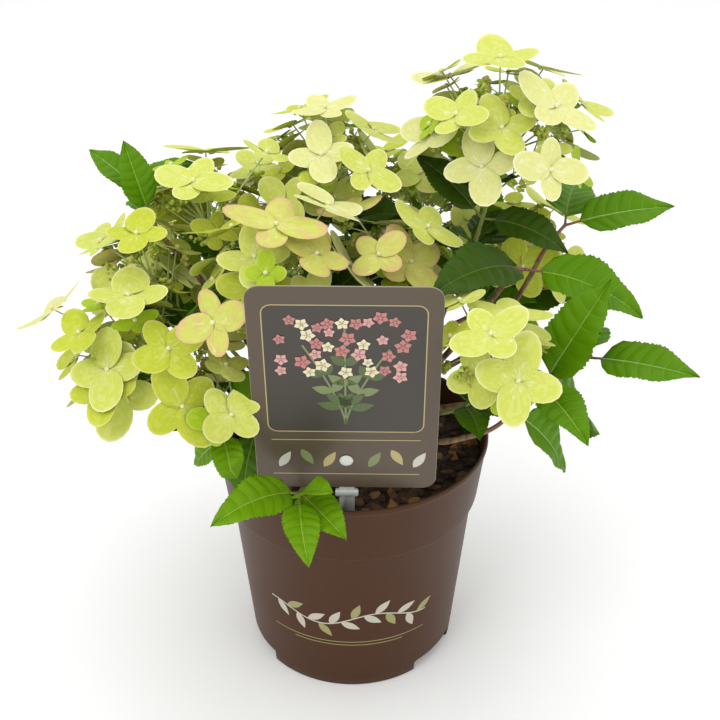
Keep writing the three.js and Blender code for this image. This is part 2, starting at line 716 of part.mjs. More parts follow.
showPlaced("pot", potSolid(), PAINT.pot);
showPlaced("soil", soilSolid(), PAINT.soil);
showPlaced("label_card", cardSolid(), PAINT.card);
showPlaced("label_stake", stakeSolid(), PAINT.clear);
showPlaced("trunk", trunkSolid(), PAINT.bark);
for (const [name, limb] of Object.entries(limbs)) {
  const isStem = name.startsWith("stem_");
  const solid = isStem ? limbSolid(limb, 6).add(knuckle(limb.end, STEM.knuckleRadius)) : limbSolid(limb, 5);
  showPlaced(name, largest(solid), PAINT.bark);
}
const shoots = SHOOTS.map((s) => sprout("leafy_shoot_" + s.name, "bough_shoot_" + s.name, s.tip, s));
const heads = HEADS.map((h) => sprout("flower_head_" + h.name, "bough_head_" + h.name, h.centre, h));
[...shoots, ...heads].forEach(addLeaves);
heads.forEach(addFlorets);
for (const mass of [...shoots, ...heads]) {
  const solid = largest(wasm.Manifold.union(mass.solids)).simplify(0.02);
  show(mass.name, solid, shoots.includes(mass) ? PAINT.leaf : PAINT.blossom);
}

export default plant;
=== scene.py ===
from collections import namedtuple
from itertools import permutations, product
from math import acos, asin, atan, cos, pi, radians, sin, sqrt
from types import SimpleNamespace as Record

import bmesh
import bpy
import numpy as np
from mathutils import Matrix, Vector, noise
from mathutils.kdtree import KDTree
from numpy.linalg import norm


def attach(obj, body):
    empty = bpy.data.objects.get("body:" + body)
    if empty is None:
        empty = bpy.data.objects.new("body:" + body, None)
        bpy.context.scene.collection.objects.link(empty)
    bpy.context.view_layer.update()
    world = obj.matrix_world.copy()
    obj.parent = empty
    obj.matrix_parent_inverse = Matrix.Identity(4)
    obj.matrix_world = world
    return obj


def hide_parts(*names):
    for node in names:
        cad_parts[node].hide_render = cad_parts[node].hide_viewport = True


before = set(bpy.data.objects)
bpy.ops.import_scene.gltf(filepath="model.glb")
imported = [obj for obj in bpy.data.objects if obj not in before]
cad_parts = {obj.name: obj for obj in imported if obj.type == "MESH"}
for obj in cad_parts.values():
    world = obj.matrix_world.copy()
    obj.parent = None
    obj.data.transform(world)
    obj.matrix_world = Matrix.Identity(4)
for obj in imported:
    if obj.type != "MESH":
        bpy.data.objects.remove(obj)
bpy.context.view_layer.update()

# Sizes in millimetres, as in the part. MM turns them into the scene's metres.
MM = 0.001
GAP = 0.3
SEAT = 0.4  # between a bough's tip and the shoot that grows on from it
BOW = 0.4  # how far a limb goes on in the direction it left in, of its length
SAG = 0.25  # how far limbs turn down as they leave a knuckle
PUSH = Record(rounds=80, room=1.15, share=0.3)
SHOOT_STEPS = 6
POT = Record(height=173, rim=95, band=89, band_height=46, neck=86, foot=74.5, wall=2.2, floor=11, edge=1.2)
NOTCH = Record(count=3, first=-66, width=44, depth=7, height=9)
SOIL = Record(edge=156, top=161, flat=26)
CARD = Record(width=113, height=157, thickness=0.8, corner=9, hole=24, hole_radius=2.4,
            foot=(-3, -78, 180.5), lean=8.2, yaw=-1)
STAKE = Record(width=10, thickness=1.6, rise=34, sunk=30, cross_width=15, cross_height=5, cross_drop=9,
             head_radius=4.4, head_thickness=1.4)
TRUNK = Record(height=22, flare=17, waist=9, knuckle=11, lean=(3, -2))
STEM = Record(foot=4.6, tip=3.6, knuckle=6.2)
FLORET = Record(reach=29, smaller=0.84, cup=0.14)
LEAF = Record(width=0.52, fold=0.2, petiole=0.14, root_shift=0.6, shrink=0.14)
BUDS = Record(radius=6, count=26, per_head=2, clusters=6, sizes=(1.1, 1.9), clear=2.2)
DOME = Record(depth=1.35, lift=0.7)
SMALLER = (1, 0.85, 0.7)  # sizes tried for a leaf or floret with no room
SHIFTS = (0, 6, -6, 12, -12, 18)  # and shifts of a floret, out from the middle of its head
CLEAR = 1.7  # between the cups of two florets
GOLDEN = radians(137.508)
UP = np.array([0.0, 0.0, 1.0])
LIGHT = np.array([0.0, -0.5, 1.0]) / sqrt(1.25)  # the way leaves turn their faces

# Radii at the foot and the tip
BOUGH = (2.3, 1.7)
SHOOT = (1.7, 1.1)
PETIOLE = (1.1, 0.8)
PEDICEL = (0.85, 0.5)
# How many smaller leaves are tried in a head, and smaller florets for each of its florets
TRIES = Record(leaves=44, florets=18)

STEMS = {
    "right": (50, 4, 214), "front": (8, -42, 206), "left": (-52, -10, 208),
    "back_left": (-34, 44, 212), "back_right": (28, 50, 214),
}
# Foot is the bough's tip, and centre and radius are the dome's. Pairs are the leaf pairs' shares of the
# way up the shoot, their length, turn, spread and seed.
Head = namedtuple("Head", "stem foot centre radius count turn seed pairs")
HEADS = {name: Head(*values) for name, *values in (
    ("top_right", "right", (76, 22, 291), (95, 41, 370), 54, 14, 240, 1492, ((0.1, 0.42), 61, 60, 65, 4358)),
    ("front_right", "front", (56, -56, 222), (88, -81, 278), 35, 9, 110, 1634, ((0.3,), 67, 240, 60, 8273)),
    ("front", "front", (-20, -30, 250), (-53, -40, 314), 43, 10, 350, 5567, ((0.3,), 54, 350, 55, 9433)),
    ("far_left", "left", (-102, -38, 222), (-133, -42, 254), 48, 12, 220, 4793, ((0.2,), 61, 320, 50, 1184)),
    ("left", "left", (-92, -4, 242), (-132, -3, 291), 35, 8, 200, 5506, ((0.3,), 67, 330, 50, 1278)),
    ("middle", "right", (38, 2, 252), (23, -3, 300), 41, 9, 130, 6452, ((0.25,), 57, 50, 85, 4765)),
    ("low_left", "left", (-58, -50, 212), (-92, -57, 235), 32, 5, 260, 2859, ((0.1,), 46, 90, 75, 16)),
    ("top", "back_right", (4, 60, 266), (-16, 61, 339), 46, 12, 340, 9052, ((0.2, 0.5), 59, 60, 65, 7620)),
    ("top_left", "back_left", (-68, 30, 264), (-99, 35, 315), 46, 12, 160, 5569, ((0.2,), 65, 90, 85, 2919)),
    ("back_left", "back_left", (-40, 92, 238), (-50, 118, 292), 43, 9, 90, 20, ((0.1, 0.5), 66, 0, 70, 12)),
    ("back_right", "back_right", (48, 90, 240), (54, 116, 298), 43, 9, 60, 21, ((0.1, 0.5), 66, 45, 70, 13)),
    ("rear_right", "back_right", (86, 66, 226), (116, 88, 270), 39, 8, 15, 22, ((0.2,), 72, 130, 45, 1811)),
    ("rear_left", "back_left", (-90, 64, 226), (-124, 80, 262), 40, 8, 35, 23, ((0.2,), 67, 280, 60, 4386)),
)}
Shoot = namedtuple("Shoot", "stem foot tip pairs")
SHOOTS = {name: Shoot(*values) for name, *values in (
    ("right_high", "right", (122, 12, 296), (141, 27, 316), ((0.96,), 59, 150, 40, 9009)),
    ("right_middle", "right", (100, 0, 287), (111, -16, 304), ((0.9,), 72, 340, 50, 6445)),
    ("right_low", "front", (95, -50, 228), (152, -42, 257), ((0.5, 0.96), 79, 40, 55, 8651)),
    ("right_front", "front", (82, -74, 219), (113, -71, 258), ((0.55, 0.96), 66, 30, 95, 1187)),
    ("pot_front", "trunk", (-24, -50, 171), (-32, -101, 189), ((0.75, 0.96), 56, 170, 30, 1300)),
    ("pot_left", "left", (-66, -50, 209), (-83, -68, 218), ((0.6, 0.96), 48, 220, 65, 4941)),
    ("left_high", "left", (-120, 10, 312), (-135, 25, 340), ((0.6, 0.96), 47, 280, 45, 8171)),
    ("rear_right", "back_right", (66, 96, 210), (96, 136, 226), ((0.5, 0.96), 74, 0, 60, 37)),
    ("rear_left", "back_left", (-70, 96, 208), (-98, 134, 224), ((0.5, 0.96), 74, 0, 60, 38)),
    ("rear_middle", "back_right", (4, 96, 200), (4, 138, 212), ((0.5, 0.96), 70, 0, 60, 39)),
)}


def add_object(name, data):
    made = bpy.data.objects.new(name, data)
    bpy.context.scene.collection.objects.link(made)
    return made


def make_camera():
    """The photograph's camera, which looks 31 degrees down from 0.8 m off the plant's middle."""
    data = bpy.data.cameras.new("camera")
    data.lens = 59.25
    data.sensor_width = 36
    camera = add_object("camera", data)
    camera.location = (0.0055, -0.6872, 0.6376)
    camera.rotation_euler = (radians(90 - 30.8), 0, 0)
    bpy.context.scene.camera = camera


make_camera()

# The growth rule


def unit(v):
    return v / norm(v)


def stream(seed):
    """A seeded stream of numbers from 0 to 1."""
    state = seed

    def draw():
        nonlocal state
        state = (state + 0x6D2B79F5) & 0xFFFFFFFF
        t = ((state ^ (state >> 15)) * (1 | state)) & 0xFFFFFFFF
        t = ((t + (((t ^ (t >> 7)) * (61 | t)) & 0xFFFFFFFF)) & 0xFFFFFFFF) ^ t
        return ((t ^ (t >> 14)) & 0xFFFFFFFF) / 4294967296

    return draw


def frame_of(axis):
    """Two directions square to an axis and to each other."""
    first = unit(np.array([1.0, 0.0, 0.0]) - axis * axis[0])
    return first, np.cross(axis, first)


def aim(axis, polar, turn):
    first, second = frame_of(axis)
    return cos(polar) * axis + sin(polar) * (cos(turn) * first + sin(turn) * second)


def bow(start, leave, end):
    """The three control points of a bow that leaves along a direction."""
    return start, start + leave * BOW * norm(end - start), end


def along(control, count):
    a, b, c = control
    t = np.linspace(0, 1, count)[:, None]
    return (1 - t) ** 2 * a + 2 * t * (1 - t) * b + t * t * c


def place_on(points, share):
    """The point at a share of the way along a path, and the heading there."""
    i = min(int(share * (len(points) - 1)), len(points) - 2)
    step = points[i + 1] - points[i]
    return points[i] + step * (share * (len(points) - 1) - i), unit(step)


def depart(centre, radius, members):
    """Gives the limbs of a fork their leaving directions, pushed apart until each has room."""
    for limb in members:
        limb.leave = unit(unit(limb.end - centre) - SAG * UP)
    for _ in range(PUSH.rounds):
        for a, b in permutations(members, 2):
            room = PUSH.room * (a.radii[0] + b.radii[0]) + 2 * GAP
            short = 2 * asin(room / 2 / radius) - acos(np.clip(a.leave @ b.leave, -1, 1))
            if short > 0:
                push = unit(a.leave - b.leave) * PUSH.share * short
                a.leave = unit(a.leave + push)
                b.leave = unit(b.leave - push)


TRUNK_FOOT = np.array([0.0, 0.0, SOIL.top + GAP])
TRUNK_TOP = TRUNK_FOOT + np.array([*TRUNK.lean, TRUNK.height], float)


def grow_limbs():
    """Every stem and bough: its fork, end, two radii, leaving direction and course."""
    forks = {"trunk": (TRUNK_TOP, TRUNK.knuckle)}
    limbs = {}
    for name, place in STEMS.items():
        end = np.array(place, float)
        forks[name] = (end, STEM.knuckle)
        limbs["stem_" + name] = Record(fork="trunk", end=end, radii=(STEM.foot, STEM.tip))
    for kind, family in (("head", HEADS), ("shoot", SHOOTS)):
        for name, mass in family.items():
            limb = Record(fork=mass.stem, end=np.array(mass.foot, float), radii=BOUGH)
            limbs[f"bough_{kind}_{name}"] = limb
    for name, (centre, radius) in forks.items():
        depart(centre, radius, [limb for limb in limbs.values() if limb.fork == name])
    for limb in limbs.values():
        centre, radius = forks[limb.fork]
        limb.course = bow(centre + limb.leave * 0.6 * radius, limb.leave, limb.end)
    return limbs


def sprout(bough, end):
    """The shoot that grows on from a bough's tip: its control points."""
    leave = unit(bough.end - bough.course[1])
    return bow(bough.end + leave * SEAT, leave, np.array(end, float))


LIMBS = grow_limbs()


def cad_tree(node):
    """The corners of a CAD node, in millimetres, to look nearest ones up in."""
    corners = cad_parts[node].data.vertices
    tree = KDTree(len(corners))
    for i, corner in enumerate(corners):
        tree.insert(corner.co / MM, i)
    tree.balance()
    return tree


def near(tree, point, within=0.3):
    return tree.find(Vector(point))[2] < within


def leaf_middle(leaf, share):
    """Points down a leaf's midrib, from the end of its petiole, and the leaf's normals there."""
    root, heading, length, droop = leaf
    side = unit(np.cross(heading, LIGHT))
    face = np.cross(side, heading)
    share = np.asarray(share, float)[..., None]
    bend = droop * share
    ahead = length * (LEAF.petiole + share * (1 - bend * bend / 6))
    middle = root + heading * ahead - face * (length * share * bend / 2)
    return middle, face * np.cos(bend) + heading * np.sin(bend)


def leaves_of(points, pairs, tree):
    """The leaves that the CAD mass has, as (root, heading, length, droop)."""
    shares, length, turn, spread, seed = pairs
    draw = stream(seed)
    leaves = []
    for pair, share in enumerate(shares):
        at, axis = place_on(points, share)
        for side in range(2):
            around = radians(turn) + pair * pi / 2 + side * pi + 0.5 * (draw() - 0.5)
            heading = aim(axis, radians(spread) + 0.4 * (draw() - 0.5), around)
            size = length * (1 - LEAF.shrink * pair) * (0.88 + 0.24 * draw())
            droop = 0.4 + 0.5 * draw()
            root = at + heading * LEAF.root_shift
            for scale in SMALLER:
                leaf = (root, heading, scale * size, droop)
                if near(tree, leaf_middle(leaf, 1)[0]):
                    leaves.append(leaf)
                    break
    return leaves


def lobe_length(floret, lobe):
    """The reach of one of a floret's four lobes: the second pair is smaller."""
    return floret.reach * np.where(lobe % 2, FLORET.smaller, 1)


def on_floret(floret, r, turn, lift):
    """Points at these distances from a floret's middle, turns round it and heights before it."""
    first, second = frame_of(floret.face)
    across = (r * np.cos(turn))[..., None] * first + (r * np.sin(turn))[..., None] * second
    return floret.at + across + lift[..., None] * floret.face


def lobe_spots(floret, shares, degrees, by_lobe=False):
    """Points on each lobe of a floret, at these shares of its length and degrees. The cup's depth goes by
    the floret's reach, or by the lobe's own length."""
    lobe = np.arange(4)[:, None]
    length = lobe_length(floret, lobe)
    r = np.array(shares) * length
    turn = floret.roll + np.radians(90 * lobe + np.array(degrees))
    lift = FLORET.cup * r * r / (length if by_lobe else floret.reach)
    return on_floret(floret, r, turn, lift).reshape(-1, 3)


def spots_of(floret):
    """Points all over a floret, to test others with."""
    return np.vstack([floret.at, lobe_spots(floret, (0.5, 0.92, 0.95, 0.92), (0, -24, 0, 24))])


def dome_of(head):
    """The centre and the axis of a head's dome of florets."""
    centre = np.array(head.centre, float)
    return centre, unit(unit(centre - np.array(head.foot, float)) + DOME.lift * UP)


def florets_of(head, points, tree):
    """The florets that the CAD mass has: those with most of their eight outer corners in it."""
    draw = stream(head.seed)
    centre, axis = dome_of(head)
    florets = []
    for i in range(head.count):
        share = (i + 0.5) / head.count
        polar = acos(1 - DOME.depth * share) + 0.4 * (draw() - 0.5)
        ray = aim(axis, polar, radians(head.turn) + i * GOLDEN + 0.9 * (draw() - 0.5))
        out = head.radius * (0.8 + 0.3 * draw())
        face = unit(ray + UP * (0.6 + 0.6 * draw()))
        roll = draw() * pi
        reach = FLORET.reach * (0.8 + 0.3 * draw())
        root, _ = place_on(points, 0.98 - 0.4 * share)
        for scale, shift in product(SMALLER, SHIFTS):
            at = centre + ray * (out + shift)
            floret = Record(root=root, at=at, face=face, roll=roll, reach=scale * reach)
            corners = lobe_spots(floret, (0.95, 0.95), (-22, 22), by_lobe=True)
            if sum(near(tree, corner) for corner in corners) > 4:
                floret.spots = spots_of(floret)
                florets.append(floret)
                break
    return florets


def pierces(spots, floret):
    """Whether spots lie on both sides of a floret's cup, or too near to it."""
    away = spots - floret.at
    lift = away @ floret.face
    r = np.sqrt(np.maximum((away ** 2).sum(1) - lift ** 2, 0))
    inside = r <= floret.reach
    height = (lift - FLORET.cup * r * r / floret.reach)[inside]
    return bool(len(height)) and (np.abs(height).min() < CLEAR or height.min() * height.max() < 0)


# Meshes


class Heap:
    """Points in millimetres and painted faces, gathered for one joined piece. An ink is the number of one
    of the heap's paints."""

    def __init__(self, *paints):
        self.paints = paints
        self.points, self.faces, self.inks = [], [], []
        self.count = 0

    def add(self, points, faces, ink):
        """Adds points and faces, all of one ink or each of its own."""
        self.points.append(np.asarray(points, float).reshape(-1, 3))
        self.count += len(self.points[-1])
        self.add_faces(faces, ink)

    def add_faces(self, faces, ink):
        """Adds faces on the points that were added last."""
        self.faces.append(np.asarray(faces) + self.count - len(self.points[-1]))
        self.inks.append(np.broadcast_to(ink, len(faces)))

    def build(self, name, slot, nodes, smooth=True):
        """Makes the piece, which rides the root and stands for some nodes of the CAD."""
        mesh = bpy.data.meshes.new(name)
        corners = np.concatenate([faces.ravel() for faces in self.faces])
        sizes = np.concatenate([np.full(*faces.shape) for faces in self.faces])
        mesh.vertices.add(self.count)
        mesh.vertices.foreach_set("co", np.float32(np.concatenate(self.points) * MM).ravel())
        mesh.loops.add(len(corners))
        mesh.loops.foreach_set("vertex_index", np.int32(corners))
        mesh.polygons.add(len(sizes))
        mesh.polygons.foreach_set("loop_start", np.int32(np.cumsum(sizes) - sizes))
        for material in self.paints:
            mesh.materials.append(material)
        mesh.polygons.foreach_set("material_index", np.int32(np.concatenate(self.inks)))
        mesh.polygons.foreach_set("use_smooth", np.full(len(sizes), smooth))
        mesh.update(calc_edges=True)
        mesh.validate()
        piece = add_object(name, mesh)
        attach(piece, "root")
        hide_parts(*nodes)
        return piece


def grid_faces(rows, columns, closed=False):
    """Quads of a grid of points, row by row. A closed grid's last column meets its first."""
    width = columns if closed else columns - 1
    r, c = np.meshgrid(np.arange(rows - 1), np.arange(width), indexing="ij")
    right = (c + 1) % columns
    quads = [r * columns + c, r * columns + right, (r + 1) * columns + right, (r + 1) * columns + c]
    return np.stack(quads, -1).reshape(-1, 4)


def ring_frames(points):
    """Two directions square to a path at each of its points, carried along it without twist."""
    tangents = np.gradient(points, axis=0)
    tangents /= norm(tangents, axis=1)[:, None]
    across = UP if abs(tangents[0][2]) < 0.9 else np.array([1.0, 0.0, 0.0])
    firsts = []
    for tangent in tangents:
        across = unit(across - tangent * (across @ tangent))
        firsts.append(across)
    firsts = np.array(firsts)
    return firsts, np.cross(tangents, firsts)


def full_turn(count):
    return np.linspace(0, 2 * pi, count, endpoint=False)


def rings(points, radii):
    """Rings of points round a path. Radii is an array of ring by side."""
    firsts, seconds = ring_frames(points)
    turn = full_turn(radii.shape[1])
    return (points[:, None] + (radii * np.cos(turn))[..., None] * firsts[:, None]
            + (radii * np.sin(turn))[..., None] * seconds[:, None])


def level_ring(radius, turns, height):
    """A ring of points round the Z axis. Radius is one for all, or one for each point."""
    return np.column_stack([radius * np.cos(turns), radius * np.sin(turns), np.full(len(turns), height)])


def add_body(heap, rows, ink, end_ink):
    """A skin over rings of points, and a flat face at each end."""
    count, sides = np.shape(rows)[:2]
    last = (count - 1) * sides
    heap.add(rows, grid_faces(count, sides, closed=True), ink)
    heap.add_faces([range(sides - 1, -1, -1), range(last, last + sides)], end_ink)


def add_tube(heap, points, ends, sides, ink):
    """A round limb that tapers from one to the other of its ends' radii."""
    radii = np.linspace(*ends, len(points))[:, None] * np.ones(sides)
    add_body(heap, rings(points, radii), ink, ink)


def ball(subdivisions):
    """Corners and triangles of a ball of radius 1."""
    mesh = bmesh.new()
    bmesh.ops.create_icosphere(mesh, subdivisions=subdivisions, radius=1)
    points = np.array([v.co[:] for v in mesh.verts])
    faces = np.array([[v.index for v in f.verts] for f in mesh.faces])
    mesh.free()
    return points, faces


ROUGH_BALL = ball(1)
BALL = ball(2)
FINE_BALL = ball(3)


def turn_matrix(angle, axis):
    """A turn about X, Y or Z, which is axis 0, 1 or 2."""
    i, j = (axis + 1) % 3, (axis + 2) % 3
    matrix = np.eye(3)
    matrix[[i, j], [i, j]] = cos(angle)
    matrix[i, j] = -sin(angle)
    matrix[j, i] = sin(angle)
    return matrix


CARD_FOOT = np.array(CARD.foot, float)
CARD_TURN = turn_matrix(radians(CARD.yaw), 2) @ turn_matrix(radians(CARD.lean), 0)
# The card's X goes across it, its Y up it and its Z out of its face
CARD_AXES = np.column_stack([CARD_TURN[:, 0], CARD_TURN[:, 2], -CARD_TURN[:, 1]])
# Air on the card's faces and past its edges, and between its faces and a smaller leaf or floret
CARD_AIR = Record(face=0.4, edge=1, extra=8)


def into_card(points):
    return (points - CARD_FOOT) @ CARD_AXES


def from_card(points):
    return np.asarray(points, float) @ CARD_AXES.T + CARD_FOOT


def clear_of_card(points, owner):
    """Moves points that would cut the card to the side of it that their owner is on. Past the card's edges
    the limit falls away at 45 degrees."""
    x, y, z = np.moveaxis(into_card(points), -1, 0)
    beyond = [np.abs(x) - CARD.width / 2, -y, y - CARD.height]
    slack = np.maximum(np.max(beyond, axis=0) - CARD_AIR.edge, 0)
    if into_card(owner)[2] > 0:
        z = np.maximum(z, CARD.thickness + CARD_AIR.face - slack)
    else:
        z = np.minimum(z, slack - CARD_AIR.face)
    return from_card(np.stack([x, y, z], -1))


def by_card(points, margin=0):
    """Whether any of the points is in the card or close to one of its faces."""
    x, y, z = np.moveaxis(into_card(points), -1, 0)
    beside = np.abs(x) < CARD.width / 2 + margin
    level = (y > -margin) & (y < CARD.height + margin)
    return bool((beside & level & (np.abs(z) < CARD_AIR.extra)).any())


# Finishes


def linear(colour):
    """A screen colour from 0 to 255 as the scene's linear colour."""
    c = np.asarray(colour, float) / 255
    return [*np.where(c > 0.04045, ((c + 0.055) / 1.055) ** 2.4, c / 12.92), 1.0]


def add_node(tree, kind, **inputs):
    node = tree.nodes.new("ShaderNode" + kind)
    for socket, value in inputs.items():
        node.inputs[socket].default_value = value
    return node


def add_bump(tree, shader, scale, strength, distance, stretch):
    """Fine relief from noise in the object's own coordinates."""
    coordinates = add_node(tree, "TexCoord")
    mapping = add_node(tree, "Mapping", Scale=stretch)
    grain = add_node(tree, "TexNoise", Scale=scale, Detail=4)
    bump = add_node(tree, "Bump", Strength=strength, Distance=distance)
    tree.links.new(coordinates.outputs["Object"], mapping.inputs["Vector"])
    tree.links.new(mapping.outputs["Vector"], grain.inputs["Vector"])
    tree.links.new(grain.outputs["Fac"], bump.inputs["Height"])
    tree.links.new(bump.outputs["Normal"], shader.inputs["Normal"])
    return grain


def paint(name, colour, roughness, bump=(900, 0.25, 0.0002), shades=None, stretch=(1, 1, 1), **sockets):
    """A material of one colour, or of two shades mixed by the same noise that makes its relief. Bump is the
    noise's scale, strength and distance."""
    material = bpy.data.materials.new(name)
    material.use_nodes = True
    tree = material.node_tree
    shader = tree.nodes["Principled BSDF"]
    shader.inputs["Base Color"].default_value = linear(colour)
    shader.inputs["Roughness"].default_value = roughness
    for socket, value in sockets.items():
        shader.inputs[socket.replace("_", " ")].default_value = value
    grain = add_bump(tree, shader, *bump, stretch)
    if shades:
        ramp = add_node(tree, "ValToRGB")
        for element, place, shade in zip(ramp.color_ramp.elements, (0.3, 0.7), shades):
            element.position = place
            element.color = linear(shade)
        tree.links.new(grain.outputs["Fac"], ramp.inputs["Fac"])
        tree.links.new(ramp.outputs["Color"], shader.inputs["Base Color"])
    return material


# Each tint's centre, body, far end, margin and vein
PETAL_TINTS = {
    "lime": ((215, 220, 149), (200, 208, 89), (207, 213, 109), (223, 224, 157), (206, 214, 107)),
    "cream": ((225, 225, 180), (214, 215, 134), (219, 219, 150), (230, 229, 188), (219, 220, 150)),
    "green": ((184, 204, 78), (164, 192, 26), (172, 197, 43), (190, 208, 82), (172, 198, 42)),
    "gold": ((206, 210, 110), (188, 199, 50), (196, 204, 72), (216, 212, 124), (195, 205, 70)),
    "blush": ((212, 211, 130), (198, 203, 92), (208, 185, 117), (210, 170, 130), (206, 188, 114)),
}
PETAL_PARTS = ("centre", "near", "body", "far", "margin", "vein")
MARGIN = PETAL_PARTS.index("margin")
VEIN = PETAL_PARTS.index("vein")
# Each tint's blade, side veins and midrib. The first tint is painted shade: a duller, deeper green for
# leaves that sit in shade under the heads and inside the crown.
LEAF_TINTS = {
    "painted_shade": ((54, 80, 12), (64, 90, 20), (90, 114, 44)),
    "deep": ((68, 104, 2), (80, 116, 12), (108, 142, 40)),
    "bright": ((86, 132, 0), (98, 144, 12), (128, 166, 48)),
    "young": ((104, 148, 4), (116, 158, 22), (146, 180, 66)),
}
LEAF_PARTS = ("blade", "vein", "rib")
PAINTED_SHADE, DEEP, BRIGHT, YOUNG = range(len(LEAF_TINTS))


def petal_paints():
    """A paint for each part of a petal in each tint. The near part is between the centre and the body."""
    paints = []
    for tint, (centre, body, *rest) in PETAL_TINTS.items():
        near_part = [a + (b - a) * 0.65 for a, b in zip(centre, body)]
        for part, colour in zip(PETAL_PARTS, (centre, near_part, body, *rest)):
            name = f"petal_{tint}_{part}"
            paints.append(paint(name, colour, 0.6, (1400, 0.2, 0.00012), Specular_IOR_Level=0.3))
    return paints


def leaf_paints():
    return [paint(f"leaf_{tint}_{part}", colour, 0.45, (700, 0.35, 0.0003), Specular_IOR_Level=0.14)
            for tint, colours in LEAF_TINTS.items() for part, colour in zip(LEAF_PARTS, colours)]


# Florets

# A petal is a fan: its veins and its sides, in degrees from its middle line, its rows' shares of the way
# out, and the part of the petal that each row of faces starts as
PETAL_VEINS = (-54, -36, -18, 0, 18, 36, 54)
PETAL_SIDES = (70, 85)
PETAL_ROWS = np.append(np.linspace(0.05, 0.96, 14), 1.0)
ROW_PARTS = (0, 1, 1, 1, 1, 2, 2, 2, 2, 2, 2, 2, 3, MARGIN)


def petal_grid():
    """A petal's points by row and column: their angle and how far they swell. Also its faces' parts."""
    bend, side = PETAL_SIDES
    columns = [(-side, 0, 0), (-bend, 0, 0)]
    for vein in PETAL_VEINS:
        columns += [(vein, -1, 0), (vein, 1, 0), (vein + 9, 0, 1)]
    columns[-1] = (bend, 0, 0)
    columns.append((side, 0, 0))
    angle, edge, swell = np.array(columns, float).T
    angle = angle * (0.82 + 0.18 * PETAL_ROWS)[:, None] + (0.9 - 0.65 * PETAL_ROWS)[:, None] * edge
    parts = np.array(ROW_PARTS)[:, None] * np.ones(len(columns) - 1, int)
    parts[1:-1, 2::3] = VEIN
    return np.radians(angle), swell * np.sin(pi * PETAL_ROWS)[:, None], parts


PETAL_ANGLE, PETAL_SWELL, PETAL_FACE_PARTS = petal_grid()
PETAL_FACES = grid_faces(*PETAL_ANGLE.shape)


def mottled(parts, random):
    """A petal's parts with their borders broken up by streaks that run outwards, three faces long. Its
    veins and margin stay as they are."""
    specks = random.normal(0, 0.33, parts.shape)
    streaks = specks + np.roll(specks, 1, axis=0) + np.roll(specks, 2, axis=0)
    mixed = np.clip(np.round(parts + streaks), 0, MARGIN - 1).astype(int)
    return np.where(parts >= MARGIN, parts, mixed).ravel()


def petal_outline(angle, half, blunt):
    """How far out a petal's edge is, in a direction from its root, of its length."""
    ellipse = np.cos(angle) / (np.cos(angle) ** 2 + (0.5 / half) ** 2 * np.sin(angle) ** 2)
    return np.maximum(ellipse, 0) ** blunt


def petal_points(floret, lobe, half, random):
    """A petal that follows the floret's cup, with its own size, turn, curl, tilt and rippled end."""
    out = PETAL_ROWS[:, None]
    outline = petal_outline(PETAL_ANGLE, half * random.uniform(0.95, 1.05), random.uniform(0.84, 0.96))
    length = lobe_length(floret, lobe) * random.uniform(0.96, 1.04)
    turn = floret.roll + pi / 2 * lobe + random.uniform(-0.06, 0.06)
    ripple = np.sin(3.2 * PETAL_ANGLE + random.uniform(0, 6.3)) * 0.04 * length * out ** 3
    curl = random.uniform(-0.1, 0.35)
    tilt = random.uniform(-0.05, 0.05)
    r = out * outline * length
    aside = r * np.sin(PETAL_ANGLE)
    lift = FLORET.cup * r ** 2 / floret.reach - curl * aside ** 2 / length + tilt * r
    lift += ripple + 0.25 * PETAL_SWELL - 0.7 * (lobe % 2)
    return on_floret(floret, r, turn + PETAL_ANGLE, lift)


def add_floret(heap, floret, tint, random):
    """Four broad petals, the second pair smaller and tucked under the first."""
    half = random.uniform(0.34, 0.39)
    for lobe in range(4):
        points = clear_of_card(petal_points(floret, lobe, half, random), floret.at)
        heap.add(points, PETAL_FACES, tint * len(PETAL_PARTS) + mottled(PETAL_FACE_PARTS, random))


def extra_florets(head, points, others, blades, random):
    """Smaller florets lower inside the dome, where they cut none of the others and no leaf."""
    centre, axis = dome_of(head)
    found = []
    for i in range(TRIES.florets * head.count):
        polar = acos(1 - 1.3 * random.uniform(0, 1))
        ray = aim(axis, polar, i * GOLDEN + random.uniform(-0.4, 0.4))
        root, _ = place_on(points, random.uniform(0.55, 0.95))
        at = centre + ray * head.radius * random.uniform(0.4, 1.05)
        face = unit(ray + UP * random.uniform(0.4, 1.4))
        roll = random.uniform(0, pi)
        reach = FLORET.reach * random.uniform(0.45, 0.92)
        floret = Record(root=root, at=at, face=face, roll=roll, reach=reach)
        floret.spots = spots_of(floret)
        if by_card(at) or any(pierces(blade, floret) for blade in blades):
            continue
        rivals = [o for o in others if norm(at - o.at) < reach + o.reach]
        if not any(pierces(floret.spots, o) or pierces(o.spots, floret) for o in rivals):
            others.append(floret)
            found.append(floret)
    return found


# Leaves

LEAF_VEINS = [0.12 + 0.135 * i for i in range(6)]
LEAF_COLUMNS = np.array([0, 0.22, 0.45, 0.68, 0.88, 1.0])
RIB_DEPTH = 0.3


def leaf_grid():
    """A leaf's points by row and column: the place up the midrib where their row starts, and how far they
    swell between veins. Also its faces' parts: blade or vein."""
    rows = [(0.0, 0, 0.0)]
    previous = 0.0
    for vein in LEAF_VEINS + [1.0]:
        for share in (0.25, 0.5, 0.75):
            rows.append((previous + (vein - previous) * share, 0, sin(pi * share)))
        if vein < 1:
            rows += [(vein, -1, 0.0), (vein, 1, 0.0)]
        previous = vein
    rows.append((1.0, 0, 0.0))
    place, edge, swell = (np.array(column)[:, None] for column in zip(*rows))
    place = place + edge * 0.0062 * (1.1 - LEAF_COLUMNS)
    parts = np.zeros((len(rows) - 1, len(LEAF_COLUMNS) - 1), int)
    parts[:, :-1] = (np.diff(edge[:, 0]) == 2)[:, None]
    return place, swell, parts.ravel()


LEAF_PLACE, LEAF_SWELL, LEAF_FACE_PARTS = leaf_grid()


